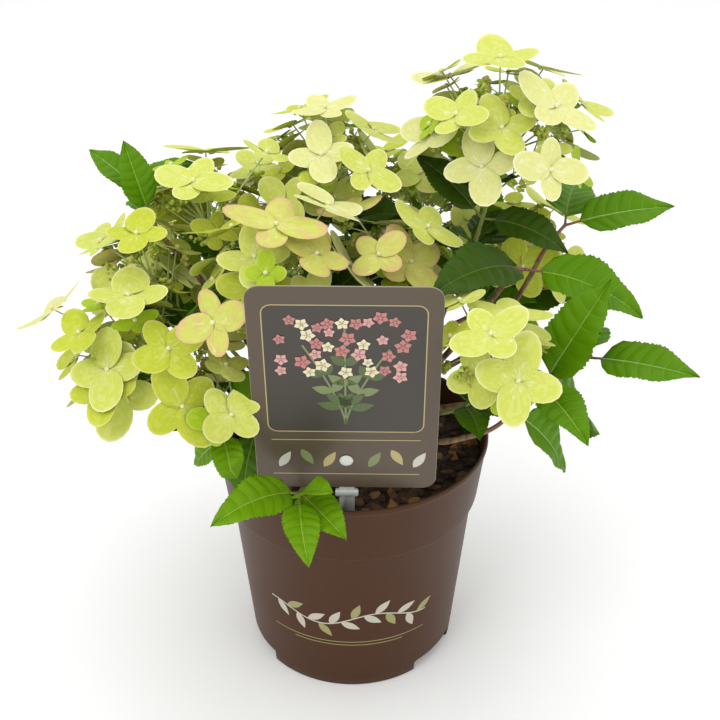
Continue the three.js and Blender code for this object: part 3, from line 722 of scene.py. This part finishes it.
def leaf_half_width(share):
    """A pointed oval's half width, of its greatest."""
    return share ** 0.6 * (1 - share) / 0.347


def blade_spots(leaf):
    """Points over a leaf's blade: its midrib and both edges."""
    _, heading, length, _ = leaf
    shares = np.linspace(0, 1, 9)
    middle, _ = leaf_middle(leaf, shares)
    half = leaf_half_width(shares) * length * LEAF.width / 2
    across = unit(np.cross(heading, LIGHT)) * half[:, None]
    return np.vstack([middle - across, middle, middle + across])


def add_leaf(heap, leaf, tint, random):
    """A serrate leaf: two halves of rows that follow the side veins, and a midrib strip."""
    root, heading, length, _ = leaf
    first_ink = len(LEAF_PARTS) * tint
    side = unit(np.cross(heading, LIGHT))
    u = LEAF_COLUMNS[None, :]
    sweep = 0.2 * u ** 1.4 * (1 - LEAF_PLACE) * np.minimum(LEAF_PLACE / 0.1, 1)
    share = np.clip(LEAF_PLACE + sweep, 0, 1)
    middle, normal = leaf_middle(leaf, share)
    half = length * LEAF.width / 2 * random.uniform(0.95, 1.05) * leaf_half_width(share)
    tooth = np.ones_like(half)
    tooth[1::2, -1] = 0.92
    rib = np.minimum(0.55 * (1 - 0.8 * share), 0.45 * half)
    sway = random.uniform(-0.12, 0.12) * length
    phase = random.uniform(0, 6.3)
    for sign in (-1, 1):
        x = rib + (half * tooth - rib) * u
        swell = 0.018 * length * LEAF_SWELL * np.sin(pi * u) ** 0.7
        ruffle = 0.02 * length * np.sin(14 * share + phase + sign) * u ** 2
        lift = LEAF.fold * x + swell + ruffle - RIB_DEPTH * (u == 0)
        points = middle + side * (sign * x + sway * share ** 2)[..., None] + normal * lift[..., None]
        faces = grid_faces(*LEAF_PLACE.shape)[:, ::sign]
        heap.add(clear_of_card(points, root), faces, first_ink + LEAF_FACE_PARTS)
    middle, normal = leaf_middle(leaf, share[:, 0])
    line = middle + side * (sway * share[:, 0] ** 2)[:, None] - normal * RIB_DEPTH
    strip = np.stack([line - side * rib[:, :1], line + side * rib[:, :1]], 1)
    heap.add(clear_of_card(strip, root), grid_faces(len(strip), 2), first_ink + LEAF_PARTS.index("rib"))


def extra_leaves(bough, head, points, others, blades, random):
    """Smaller leaves lower on a head's shoot and on its bough, where they cut no floret and no leaf."""
    path = np.vstack([along(bough.course, 12)[5:-1], points[:-1]])
    found = []
    for i in range(TRIES.leaves):
        at, axis = place_on(path, random.uniform(0.05, 0.9))
        heading = unit(aim(axis, random.uniform(0.7, 1.3), i * GOLDEN) + 0.3 * UP)
        leaf = (at, heading, random.uniform(26, 56), random.uniform(0.3, 0.8))
        spots = blade_spots(leaf)
        is_far = norm(spots - np.array(head.centre), axis=1).max() > 1.15 * head.radius + 12
        is_low = spots[:, 2].min() < POT.height + 8
        if is_far or is_low or by_card(spots, margin=2) or any(pierces(spots, floret) for floret in others):
            continue
        if all(norm(blade[:, None] - spots[None], axis=2).min() >= 4 for blade in blades):
            blades.append(spots)
            found.append(leaf)
    return found


# Wood

# The ridges of bark: how many round a limb, how long and how deep, and the swellings at its nodes
RIDGES = ((2.2, 14, 1), (5, 4, 0.5))
NODES = Record(apart=26, first=4, breadth=3, swell=0.14)


def rough(point, size, seed):
    """Smooth noise from -1 to 1 at a point, with lumps of a size."""
    return noise.noise(Vector(point) / size + Vector((seed, 0, 0)))


def add_bark(heap, points, radii, sides, seed, relief=0.16):
    """A limb with ridges that run along it, and a swelling at each node."""
    shape = np.asarray(radii, float)[:, None] * np.ones(sides)
    travelled = np.concatenate([[0], np.cumsum(norm(np.diff(points, axis=0), axis=1))])
    for i, far in enumerate(travelled):
        for k, turn in enumerate(full_turn(sides)):
            x, y = cos(turn), sin(turn)
            for around, length, depth in RIDGES:
                ridge = noise.noise(Vector((around * x, around * y, far / length + seed)))
                shape[i, k] += radii[i] * relief * depth * ridge
    off = (travelled - NODES.first + NODES.apart / 2) % NODES.apart - NODES.apart / 2
    node = np.exp(-off ** 2 / NODES.breadth)
    add_body(heap, rings(points, shape * (1 + NODES.swell * node)[:, None]), 0, 0)


def add_knuckle(heap, centre, radius, seed):
    corners, faces = FINE_BALL
    swell = np.array([1 + 0.14 * rough(c, 0.5, seed) + 0.06 * rough(c, 0.2, seed) for c in corners])
    heap.add(centre + corners * swell[:, None] * radius * 0.94, faces, 0)


def add_trunk(heap):
    """The trunk, from its root flare up to the knuckle that it forks at."""
    flare, waist = TRUNK.flare, TRUNK.waist
    shares = np.linspace(0, 1, 14)
    radii = np.interp(shares, (0, 0.12, 0.35, 0.6, 1), (flare, 0.8 * flare, 1.1 * waist, waist, waist + 0.4))
    radii[0] += 0.4
    add_bark(heap, TRUNK_FOOT + (TRUNK_TOP - TRUNK_FOOT) * shares[:, None], radii, 28, 3, 0.12)
    add_knuckle(heap, TRUNK_TOP, TRUNK.knuckle, 1)


def make_wood():
    """The trunk, the main stems with their knuckles, and the boughs."""
    shades = ((84, 62, 40), (150, 122, 86))
    heap = Heap(paint("bark", (122, 96, 66), 0.85, (260, 0.6, 0.0008), shades, (1, 1, 0.25)))
    add_trunk(heap)
    for seed, (name, limb) in enumerate(LIMBS.items()):
        is_stem = name.startswith("stem_")
        count, sides = (26, 14) if is_stem else (22, 10)
        add_bark(heap, along(limb.course, count), np.linspace(*limb.radii, count), sides, seed)
        if is_stem:
            add_knuckle(heap, limb.end, STEM.knuckle, seed)
    return heap.build("wood", "bark", ["trunk", *LIMBS])


# Masses

# The inks of the twigs. Those of the buds come before that of the knob in the middle of a floret.
PALE, GREEN, RED = range(3)
KNOB = 3


def petal_test(florets):
    """A test of whether a bud at a point would touch a petal of any floret."""
    at = np.array([floret.at for floret in florets])
    face = np.array([floret.face for floret in florets])
    reach = np.array([floret.reach for floret in florets])

    def touches(point):
        away = point - at
        lift = (away * face).sum(1)
        r2 = (away ** 2).sum(1) - lift ** 2
        return bool(((r2 < reach ** 2) & (np.abs(lift - FLORET.cup * r2 / reach) < BUDS.clear)).any())

    return touches


def add_cluster(heaps, centre, radius, count, random):
    """Small round buds packed about a point, none of them in a petal."""
    corners, faces = ROUGH_BALL
    for _ in range(count):
        at = centre + unit(random.normal(size=3)) * radius * random.uniform(0.4, 1)
        size = random.uniform(*BUDS.sizes)
        ink = int(random.integers(0, KNOB))
        at = clear_of_card(at, centre)
        if not heaps.touches(at):
            heaps.buds.add(at + corners * size, faces, ink)


def add_sprig(heaps, start, end, random):
    """A thin twig with a few shorter ones at its end, each with a cluster of buds."""
    points = along(bow(start, unit(end - start + 3 * UP), end), 5)
    add_tube(heaps.twigs, clear_of_card(points, end), (0.6, 0.35), 5, PALE)
    heading = unit(end - start)
    for i in range(3):
        ray = aim(heading, random.uniform(0.4, 0.9), i * 2.1 + random.uniform(0, 1))
        tip = end + ray * random.uniform(3, 6)
        points = clear_of_card(np.array([end - heading, (end + tip) / 2, tip]), end)
        add_tube(heaps.twigs, points, (0.4, 0.3), 4, PALE)
        add_cluster(heaps, tip, 3, random.integers(4, 8), random)


def add_stalk(heaps, floret, random):
    """A floret's knob, its pedicel, and a sprig of buds that forks off halfway."""
    corners, faces = BALL
    face = floret.face
    heaps.buds.add(floret.at + face * 0.9 + corners * 1.5, faces, KNOB)
    below = floret.at - face * 0.8
    leave = unit(unit(below - floret.root) + 0.25 * UP)
    points = along(bow(floret.root, leave, below), 9)
    add_tube(heaps.twigs, clear_of_card(points, floret.at), PEDICEL, 6, PALE)
    ray = aim(unit(points[6] - points[4]), random.uniform(0.5, 0.9), random.uniform(0, 6.3))
    add_sprig(heaps, points[5], points[5] + ray * random.uniform(7, 12), random)


def add_bud_lumps(heaps, head, points, random):
    """Clusters of unopened buds: the first ones at the places of the part's bud lumps."""
    centre, axis = dome_of(head)
    for i in range(BUDS.clusters):
        ray = aim(axis, radians(35 + 20 * i % 90), radians(head.turn + 60) + i * GOLDEN)
        out = 0.5 if i < BUDS.per_head else random.uniform(0.6, 0.85)
        at = centre + ray * out * head.radius
        root, _ = place_on(points, 0.96 - 0.05 * i)
        stalk = clear_of_card(np.array([root, (root + at) / 2, at]), at)
        add_tube(heaps.twigs, stalk, (0.7, 0.5), 6, PALE)
        add_cluster(heaps, at, BUDS.radius, BUDS.count, random)


def pick_tint(name, is_extra, random):
    """A tint for a floret: the topmost head is palest, the small inner ones are greenest, as painted light
    that stands for light shining through their petals in shade, and the outer florets of a few heads are
    turning pink. Shares are in the tints' order, blush last."""
    blush = {"front": 0.5, "middle": 0.5, "low_left": 0.4, "left": 0.2}.get(name, 0)
    shares = [0.6, 0.14, 0.05, 0.21]
    if is_extra:
        blush = 0
        # Painted light: the inner florets lie in shade, and their greener, more saturated tints stand in for
        # light shining through the petals
        shares = [0.26, 0.02, 0.38, 0.34]
    elif name == "top_right":
        shares = [0.45, 0.55, 0, 0]
    weights = [*(np.array(shares) * (1 - blush)), blush]
    return int(random.choice(len(PETAL_TINTS), p=weights))


def find_shoot(bough, node, end, pairs):
    """A mass's shoot: its control points, its points, and the leaves that the CAD has on it."""
    control = sprout(LIMBS[bough], end)
    points = along(control, SHOOT_STEPS + 1)
    tree = cad_tree(node)
    return Record(control=control, points=points, tree=tree, leaves=leaves_of(points, pairs, tree))


def find_masses(random):
    """What each shoot and each head carries: first the leaves and florets that the CAD has, then the
    smaller ones between them. Also all the florets together."""
    shoots, heads, placed = {}, {}, []
    for name, shoot in SHOOTS.items():
        shoots[name] = find_shoot("bough_shoot_" + name, "leafy_shoot_" + name, shoot.tip, shoot.pairs)
    for name, head in HEADS.items():
        mass = find_shoot("bough_head_" + name, "flower_head_" + name, head.centre, head.pairs)
        mass.florets = florets_of(head, mass.points, mass.tree)
        placed += mass.florets
        heads[name] = mass
    masses = [*shoots.values(), *heads.values()]
    blades = [blade_spots(leaf) for mass in masses for leaf in mass.leaves]
    for name, mass in heads.items():
        bough = LIMBS["bough_head_" + name]
        mass.leaves += extra_leaves(bough, HEADS[name], mass.points, placed, blades, random)
        mass.extra = extra_florets(HEADS[name], mass.points, placed, blades, random)
    return shoots, heads, placed


def add_leaves(heaps, leaves, tints, stalk_ink, random):
    """Leaves, each of one of the leaf tints, and their petioles."""
    shares = np.linspace(-0.03, LEAF.petiole + 0.02, 5)[:, None]
    for leaf, tint in zip(leaves, tints):
        root, heading, length, _ = leaf
        add_tube(heaps.twigs, root + heading * length * shares, PETIOLE, 6, stalk_ink)
        add_leaf(heaps.leaves, leaf, tint, random)


def make_heaps(placed):
    """The heaps that masses add to, and the test that keeps buds out of petals."""
    twigs = Heap(paint("twig_pale", (196, 206, 130), 0.6), paint("twig_green", (118, 128, 56), 0.6),
                 paint("twig_red", (134, 88, 70), 0.6))
    buds = Heap(paint("bud_green", (150, 170, 44), 0.6), paint("bud_lime", (184, 200, 84), 0.6),
                paint("bud_tan", (180, 170, 80), 0.7), paint("knob_cream", (228, 226, 170), 0.6))
    return Record(twigs=twigs, leaves=Heap(*leaf_paints()), buds=buds, touches=petal_test(placed))


def add_heads(heaps, petals, heads, random):
    """The heads' shoots, leaves, florets and buds. Each petal heap has the florets of two or three heads."""
    for i, (name, mass) in enumerate(heads.items()):
        add_tube(heaps.twigs, along(mass.control, 20), SHOOT, 8, GREEN)
        # Painted shade: the leaves of these three heads lie in shade under their florets and all get the
        # first leaf tint
        shaded = name in ("top_right", "middle", "top")
        tints = [PAINTED_SHADE if shaded else int(random.integers(DEEP, YOUNG)) for _ in mass.leaves]
        add_leaves(heaps, mass.leaves, tints, GREEN, random)
        for florets, is_extra in ((mass.florets, False), (mass.extra, True)):
            for floret in florets:
                tint = pick_tint(name, is_extra, random)
                add_floret(petals[i % len(petals)], floret, tint, random)
                add_stalk(heaps, floret, random)
        add_bud_lumps(heaps, HEADS[name], mass.points, random)


def add_shoots(heaps, shoots, random):
    """The leafy shoots. Those on the right have red stalks, and their leaves that turn inwards, into the
    crown, get the first leaf tint, which is painted shade.
    """
    for name, mass in shoots.items():
        on_right = name.startswith("right")
        stalk_ink = RED if on_right else GREEN
        add_tube(heaps.twigs, along(mass.control, 16), SHOOT, 8, stalk_ink)
        usual = YOUNG if name.startswith("pot") else BRIGHT
        # Painted shade: leaves of the right shoots that point inwards, into the crown, get the first leaf
        # tint
        tints = [PAINTED_SHADE if on_right and heading[0] < -0.3 else usual for _, heading, *_ in mass.leaves]
        add_leaves(heaps, mass.leaves, tints, stalk_ink, random)


def make_masses():
    """Every flower head and leafy shoot: twigs, leaves, florets and buds, each kind joined."""
    random = np.random.default_rng(11)
    shoots, heads, placed = find_masses(random)
    petal_finishes = petal_paints()
    petals = [Heap(*petal_finishes) for _ in range(5)]
    heaps = make_heaps(placed)
    add_heads(heaps, petals, heads, random)
    add_shoots(heaps, shoots, random)
    head_nodes = ["flower_head_" + name for name in HEADS]
    shoot_nodes = ["leafy_shoot_" + name for name in SHOOTS]
    for i, (letter, heap) in enumerate(zip("abcde", petals)):
        heap.build("florets_" + letter, "blossom", head_nodes[i::len(petals)])
    heaps.buds.build("flower_buds", "blossom", head_nodes)
    heaps.leaves.build("leaves", "leaf", shoot_nodes)
    heaps.twigs.build("twigs", "leaf", shoot_nodes + head_nodes)


# Pot


def pot_profile():
    """Radius and height along the pot's wall: up its outside, over the rim and down its inside."""
    foot, neck, band, rim, top = POT.foot, POT.neck, POT.band, POT.rim, POT.height
    wall, floor, shoulder, notch = POT.wall, POT.floor, top - POT.band_height, NOTCH.height
    return [
        (0, 0), (40, 0), (foot - 1.6, 0), (foot - 0.5, 0.4), (foot, POT.edge), (foot + 0.62, notch - 0.3),
        (foot + 0.7, notch + 0.3), (foot + 0.9, notch + 2), (80, 61), (neck - 0.15, shoulder - 1.5),
        (neck + 0.4, shoulder - 0.3), (band - 0.5, shoulder + 0.2), (band - 0.1, shoulder + 0.9),
        (band + 0.3, shoulder + 2.5), (rim - 1.2, top - 6), (rim - 0.6, top - 4), (rim, top - 3.2),
        (rim, top - 1.2), (rim - 0.4, top - 0.3), (rim - 1.1, top),
        (rim - wall + 0.4, top - 0.4), (rim - wall, top - 1.5), (rim - wall - 2.6, top - 20),
        (band - wall, shoulder + 2), (neck - wall, shoulder), (foot - wall, floor), (30, floor), (0, floor),
    ]


def notched(radius, turns, middles, half):
    """A ring's radii with a flat cut for each notch."""
    around = np.full(len(turns), float(radius))
    for middle in middles:
        off = np.mod(turns - middle + pi, 2 * pi) - pi
        cut = (POT.foot - NOTCH.depth) / np.cos(off)
        around = np.where(np.abs(off) < half, np.minimum(around, cut), around)
    return around


def make_pot():
    """The pot, turned from its profile in even steps and with two points at each edge of a notch. The
    notches are cut into the foot of its wall."""
    heap = Heap(paint("pot_brown", (70, 40, 18), 0.44, (1500, 0.12, 0.0001), ((66, 37, 16), (74, 44, 21)),
                      Specular_IOR_Level=0.2))
    half = np.degrees(asin(NOTCH.width / 2 / POT.foot))
    middles = [NOTCH.first + 360 * i / NOTCH.count - 90 for i in range(NOTCH.count)]
    ways = product(middles, (-1, 1), (-0.15, 0.15))
    edges = [(middle + sign * (half + step)) % 360 for middle, sign, step in ways]
    turns = np.radians(np.unique(np.round([*range(0, 360, 2), *edges], 3)))
    rows = []
    for radius, height in pot_profile():
        if height < NOTCH.height and radius > POT.foot - NOTCH.depth:
            radius = notched(radius, turns, np.radians(middles), radians(half))
        rows.append(level_ring(radius, turns, height))
    heap.add(rows, grid_faces(len(rows), len(turns), closed=True), 0)
    piece = heap.build("nursery_pot", "pot", ["pot"])
    piece.modifiers.new("edges", "EDGE_SPLIT").split_angle = radians(38)


# Prints


def flat_shape(heap, outline, ink, place):
    """A flat filled shape with its corners put in place, as a fan from its middle."""
    outline = np.asarray(outline, float)
    count = len(outline)
    fan = [(0, 1 + i, 1 + (i + 1) % count) for i in range(count)]
    heap.add(place(np.vstack([outline.mean(0), outline])), fan, ink)


def flat_line(heap, path, width, ink, place):
    """A line of a width along a path."""
    path = np.asarray(path, float)
    step = np.gradient(path, axis=0)
    square = np.column_stack([-step[:, 1], step[:, 0]])
    square *= width / 2 / norm(square, axis=1)[:, None]
    points = np.stack([path - square, path + square], 1).reshape(-1, 2)
    heap.add(place(points), grid_faces(len(path), 2)[:, ::-1], ink)


def flat_rules(heap, rules, width, ink, place, count):
    """Level lines, each at a height and with a reach to either side."""
    for height, reach in rules:
        x = np.linspace(-reach, reach, count)
        flat_line(heap, np.column_stack([x, np.full(count, height)]), width, ink, place)


def leaf_glyph(at, degrees, length, width):
    """The outline of a leaf that grows from a point in a direction."""
    t = np.linspace(0, 1, 9)
    bulge = np.sin(pi * t ** 0.85) * width / 2
    far_side = np.column_stack([t * length, -bulge])[-2:0:-1]
    outline = np.concatenate([np.column_stack([t * length, bulge]), far_side])
    return outline @ turn_matrix(radians(degrees), 2)[:2, :2].T + at


def make_ornament():
    """A generic garland of leaves and two rules, laid on the pot's cone."""
    heap = Heap(paint("ornament_pale", (188, 182, 166), 0.5), paint("ornament_olive", (150, 146, 92), 0.5))
    pale, olive = range(2)
    shoulder = POT.height - POT.band_height
    half_width, middle, swing, wave, mean_radius = 58, 68, 5, 12, 80

    def on_cone(points):
        height = points[:, 1]
        radius = POT.foot + (POT.neck - POT.foot) * height / shoulder + 0.12
        turn = radians(-92) + points[:, 0] / mean_radius
        return np.column_stack([radius * np.cos(turn), radius * np.sin(turn), height])

    x = np.linspace(-half_width, half_width, 60)
    stem = np.column_stack([x, middle + swing * np.sin(x / wave)])
    flat_line(heap, stem, 1.1, pale, on_cone)
    for i, at in enumerate(stem[3:-2:4]):
        tilt = np.degrees(atan(swing / wave * cos(at[0] / wave)))
        degrees = tilt + (48 if i % 2 else -48)
        flat_shape(heap, leaf_glyph(at, degrees, 15, 6), olive if i % 3 == 1 else pale, on_cone)
    flat_rules(heap, ((46, half_width), (43, 40)), 0.7, olive, on_cone, 40)
    heap.build("pot_ornament", "pot", [])


def rounded_outline(width, height, corner, inset=0, steps=8):
    """A rounded rectangle that stands on the X axis."""
    outline = []
    for quarter, (x, y) in enumerate(((1, -1), (1, 1), (-1, 1), (-1, -1))):
        turns = np.radians(np.linspace(90 * quarter - 90, 90 * quarter, steps + 1))
        centre = (x * (width / 2 - corner), height / 2 + y * (height / 2 - corner))
        outline.append(centre + (corner - inset) * np.column_stack([np.cos(turns), np.sin(turns)]))
    return np.concatenate(outline)


def at_depth(outline, depth):
    """Flat points at a depth on the card's axes."""
    return from_card(np.column_stack([outline, np.full(len(outline), depth)]))


def add_slab(heap, outlines, depths, ink, end_ink):
    """A flat body on the card's axes, from an outline at each depth."""
    add_body(heap, [at_depth(*row) for row in zip(outlines, depths)], ink, end_ink)


def make_card():
    """The card, with a paler edge."""
    heap = Heap(paint("card_brown", (84, 71, 56), 0.38, (1600, 0.08, 0.0001), ((80, 67, 52), (88, 75, 60))),
                paint("card_edge", (150, 142, 128), 0.5))
    size = (CARD.width, CARD.height, CARD.corner)
    edge, soft = rounded_outline(*size), rounded_outline(*size, 0.25)
    add_slab(heap, (soft, edge, edge, soft), (0, 0.2, 0.6, CARD.thickness), 1, 0)
    heap.build("plant_label", "card", ["label_card"], smooth=False)


PRINT_TONES = dict(gold=(178, 164, 112), panel=(62, 56, 50), pink=(214, 160, 156), cream=(226, 216, 178),
                   rose=(188, 124, 120), sage=(120, 134, 86), moss=(84, 100, 58), silver=(196, 192, 180))
GOLD, PANEL, PINK, CREAM, ROSE, SAGE, MOSS, SILVER = range(len(PRINT_TONES))


def over_card(height):
    """A way to put flat points at a height over the card's face."""
    return lambda points: at_depth(points, CARD.thickness + height)


def print_sprays(heap):
    """Three stems with pairs of leaves."""
    for degrees, length in ((112, 66), (90, 74), (66, 64)):
        t = np.linspace(0, 1, 20)
        lean = radians(degrees)
        path = np.column_stack([length * t * cos(lean) * t ** 0.4, 54 + length * t * sin(lean)])
        flat_line(heap, path, 1.2, SAGE, over_card(0.08))
        for i, sign in product(range(3), (-1, 1)):
            leaf = leaf_glyph(path[4 + 4 * i], degrees + sign * 52, 15 - 2 * i, 6.5)
            flat_shape(heap, leaf, (MOSS, SAGE)[i % 2], over_card(0.09))


def print_blossoms(heap, random, count=34):
    """Small five-petalled blossoms that lie a little over each other."""
    placed = []
    while len(placed) < count:
        spot = np.array([random.uniform(-38, 38), random.uniform(92, 136)])
        size = random.uniform(3.4, 5.4)
        if all(norm(spot - other) > 0.8 * (size + reach) for other, reach in placed):
            placed.append((spot, size))
            ink = (PINK, CREAM, ROSE)[int(random.integers(0, 3))]
            for k in range(5):
                petal = leaf_glyph(spot, 72 * k + 20 * len(placed), size, 0.75 * size)
                flat_shape(heap, petal, ink, over_card(0.1 + 0.01 * len(placed)))
            flat_shape(heap, leaf_glyph(spot - (0.6, 0), 0, 1.2, 1.2), GOLD, over_card(0.5))


def make_print():
    """The label's generic print: a framed spray of small blossoms over a row of leaves."""
    heap = Heap(*[paint("print_" + name, colour, 0.42) for name, colour in PRINT_TONES.items()])
    window = rounded_outline(95, 96, 6) + (0, 48)
    flat_shape(heap, window, PANEL, over_card(0.04))
    flat_line(heap, np.vstack([window, window[:2]]), 0.7, GOLD, over_card(0.07))
    print_sprays(heap)
    print_blossoms(heap, np.random.default_rng(4))
    flat_rules(heap, ((41, 46), (12, 46)), 0.6, GOLD, over_card(0.05), 3)
    for i in (0, 1, 2, 4, 5, 6):
        leaf = leaf_glyph((-42 + 14 * i, 33 if i % 2 else 18), -60 if i % 2 else 60, 15, 6)
        flat_shape(heap, leaf, (SILVER, SAGE, GOLD)[i % 3], over_card(0.06))
    heap.build("label_print", "card", [], smooth=False)


def add_bar(heap, width, bottom, top, back, front):
    """A bar on the card's axes with softened edges."""
    corner, soft = min(1.6, width / 3), 0.3
    full, inset = (rounded_outline(width, top - bottom, corner, by, 4) + (0, bottom) for by in (0, soft))
    add_slab(heap, (inset, full, full, inset), (back, back + soft, front - soft, front), 0, 0)


def add_stud(heap, back):
    """The stud through the card's hole, with its round head on the card's face."""
    stud, head = CARD.hole_radius - GAP, STAKE.head_radius
    face = CARD.thickness + GAP
    top = face + STAKE.head_thickness
    profile = [(0, back), (stud, back), (stud, face), (head - 0.2, face), (head, face + 0.3),
               (head - 0.3, face + 0.8), (head - 1.2, top - 0.15), (2, top), (0, top + 0.05)]
    rows = [level_ring(r, full_turn(28), z) + (0, CARD.hole, 0) for r, z in profile]
    heap.add(from_card(rows), grid_faces(len(rows), 28, closed=True), 0)


def make_stake():
    """The clear stake behind the card, with its cross bar and stud."""
    heap = Heap(paint("clear_plastic", (206, 210, 204), 0.3, (900, 0.1, 0.0001)))
    back = -GAP - STAKE.thickness
    proud = STAKE.thickness / 2
    low = -STAKE.cross_drop
    add_bar(heap, STAKE.width, -STAKE.sunk, STAKE.rise, back, -GAP)
    add_bar(heap, STAKE.cross_width, low, low + STAKE.cross_height, back - proud, -GAP + proud)
    add_stud(heap, back)
    heap.build("label_clip", "stake", ["label_stake"])


# Soil

SOIL_RADIUS = POT.band + (POT.rim - POT.band) * 0.62 - POT.wall - 0.7
SKIRT_HEIGHT = 132
CHIP_TONES = ((50, 34, 22), (76, 51, 31), (104, 72, 44), (134, 94, 52))
# Length, breadth and thickness of the chips
CHIP_SIZES = ((2, 6.5), (1.5, 3.4), (0.7, 1.5))


def soil_height(r):
    """The mound's height at a distance from its middle."""
    return np.interp(r, (SOIL.flat, SOIL_RADIUS), (SOIL.top, SOIL.edge))


def make_compost():
    """Mounded compost, whose edge goes on down inside the pot."""
    heap = Heap(paint("compost", (44, 30, 21), 0.95, (420, 0.9, 0.0015), ((24, 15, 10), (66, 46, 32))))
    turns = full_turn(90)
    rows = []
    for r in np.linspace(0, SOIL_RADIUS, 34):
        row = level_ring(r, turns, soil_height(r) - 0.8)
        row[:, 2] += [1.1 * rough((x, y, 0), 9, 5) + 0.7 * rough((x, y, 0), 3.5, 9) for x, y, _ in row]
        rows.append(row)
    rows.append(level_ring(0.985 * SOIL_RADIUS, turns, SKIRT_HEIGHT))
    heap.add(rows, grid_faces(len(rows), len(turns), closed=True), 0)
    heap.build("compost", "soil", ["soil"])


def make_chips():
    """Bark chips strewn on the compost, except where the stake goes in."""
    random = np.random.default_rng(23)
    heap = Heap(*[paint(f"chip_{i}", tone, 0.9, (500, 0.7, 0.0006)) for i, tone in enumerate(CHIP_TONES)])
    corners, faces = BALL
    block = np.sign(corners) * np.abs(corners) ** 0.6
    for _ in range(620):
        r = (SOIL_RADIUS - 5) * sqrt(random.uniform(0.03, 1))
        turn = random.uniform(0, 2 * pi)
        sizes = [random.uniform(*limits) for limits in CHIP_SIZES]
        turned = random.uniform(0, 2 * pi)
        tilt = random.uniform(-0.35, 0.35)
        at = (r * cos(turn), r * sin(turn), soil_height(r) + 0.1)
        if abs(at[0] - CARD_FOOT[0]) < 11 and abs(at[1] - CARD_FOOT[1]) < 8:
            continue
        lumps = np.array([1 + 0.35 * rough(c, 0.8, turned) for c in block])
        shape = block * lumps[:, None] * sizes @ (turn_matrix(turned, 2) @ turn_matrix(tilt, 0)).T
        heap.add(shape + at, faces, int(random.choice(len(CHIP_TONES), p=(0.34, 0.32, 0.22, 0.12))))
    heap.build("bark_chips", "soil", ["soil"], smooth=False)


# Stage

# Each light's place, size and power
LIGHTS = dict(key=((-0.9, -1.1, 1.7), 1.1, 10), fill=((1.3, -0.9, 1.1), 1.3, 3.5),
              top=((0.1, 0.5, 1.9), 1.6, 8))
LIT = Vector((0, 0, 0.24))


def make_floor():
    mesh = bpy.data.meshes.new("floor")
    mesh.from_pydata([(-6, -6, 0), (6, -6, 0), (6, 6, 0), (-6, 6, 0)], [], [(0, 1, 2, 3)])
    mesh.materials.append(paint("floor", (254, 254, 254), 0.8, (40, 0.02, 0.0001)))
    add_object("floor", mesh)


def make_lights():
    """Soft light from a studio's boxes, and an even white surround."""
    for name, (place, size, power) in LIGHTS.items():
        data = bpy.data.lights.new(name, "AREA")
        data.size = size
        data.energy = power
        light = add_object(name, data)
        light.location = place
        light.rotation_euler = (LIT - Vector(place)).to_track_quat("-Z", "Y").to_euler()
    world = bpy.data.worlds.new("studio")
    world.use_nodes = True
    world.node_tree.nodes["Background"].inputs["Color"].default_value = (1, 1, 1, 1)
    world.node_tree.nodes["Background"].inputs["Strength"].default_value = 0.9
    bpy.context.scene.world = world
    bpy.context.scene.view_settings.view_transform = "Standard"


make_pot()
make_ornament()
make_compost()
make_chips()
make_card()
make_print()
make_stake()
make_wood()
make_masses()
make_floor()
make_lights()
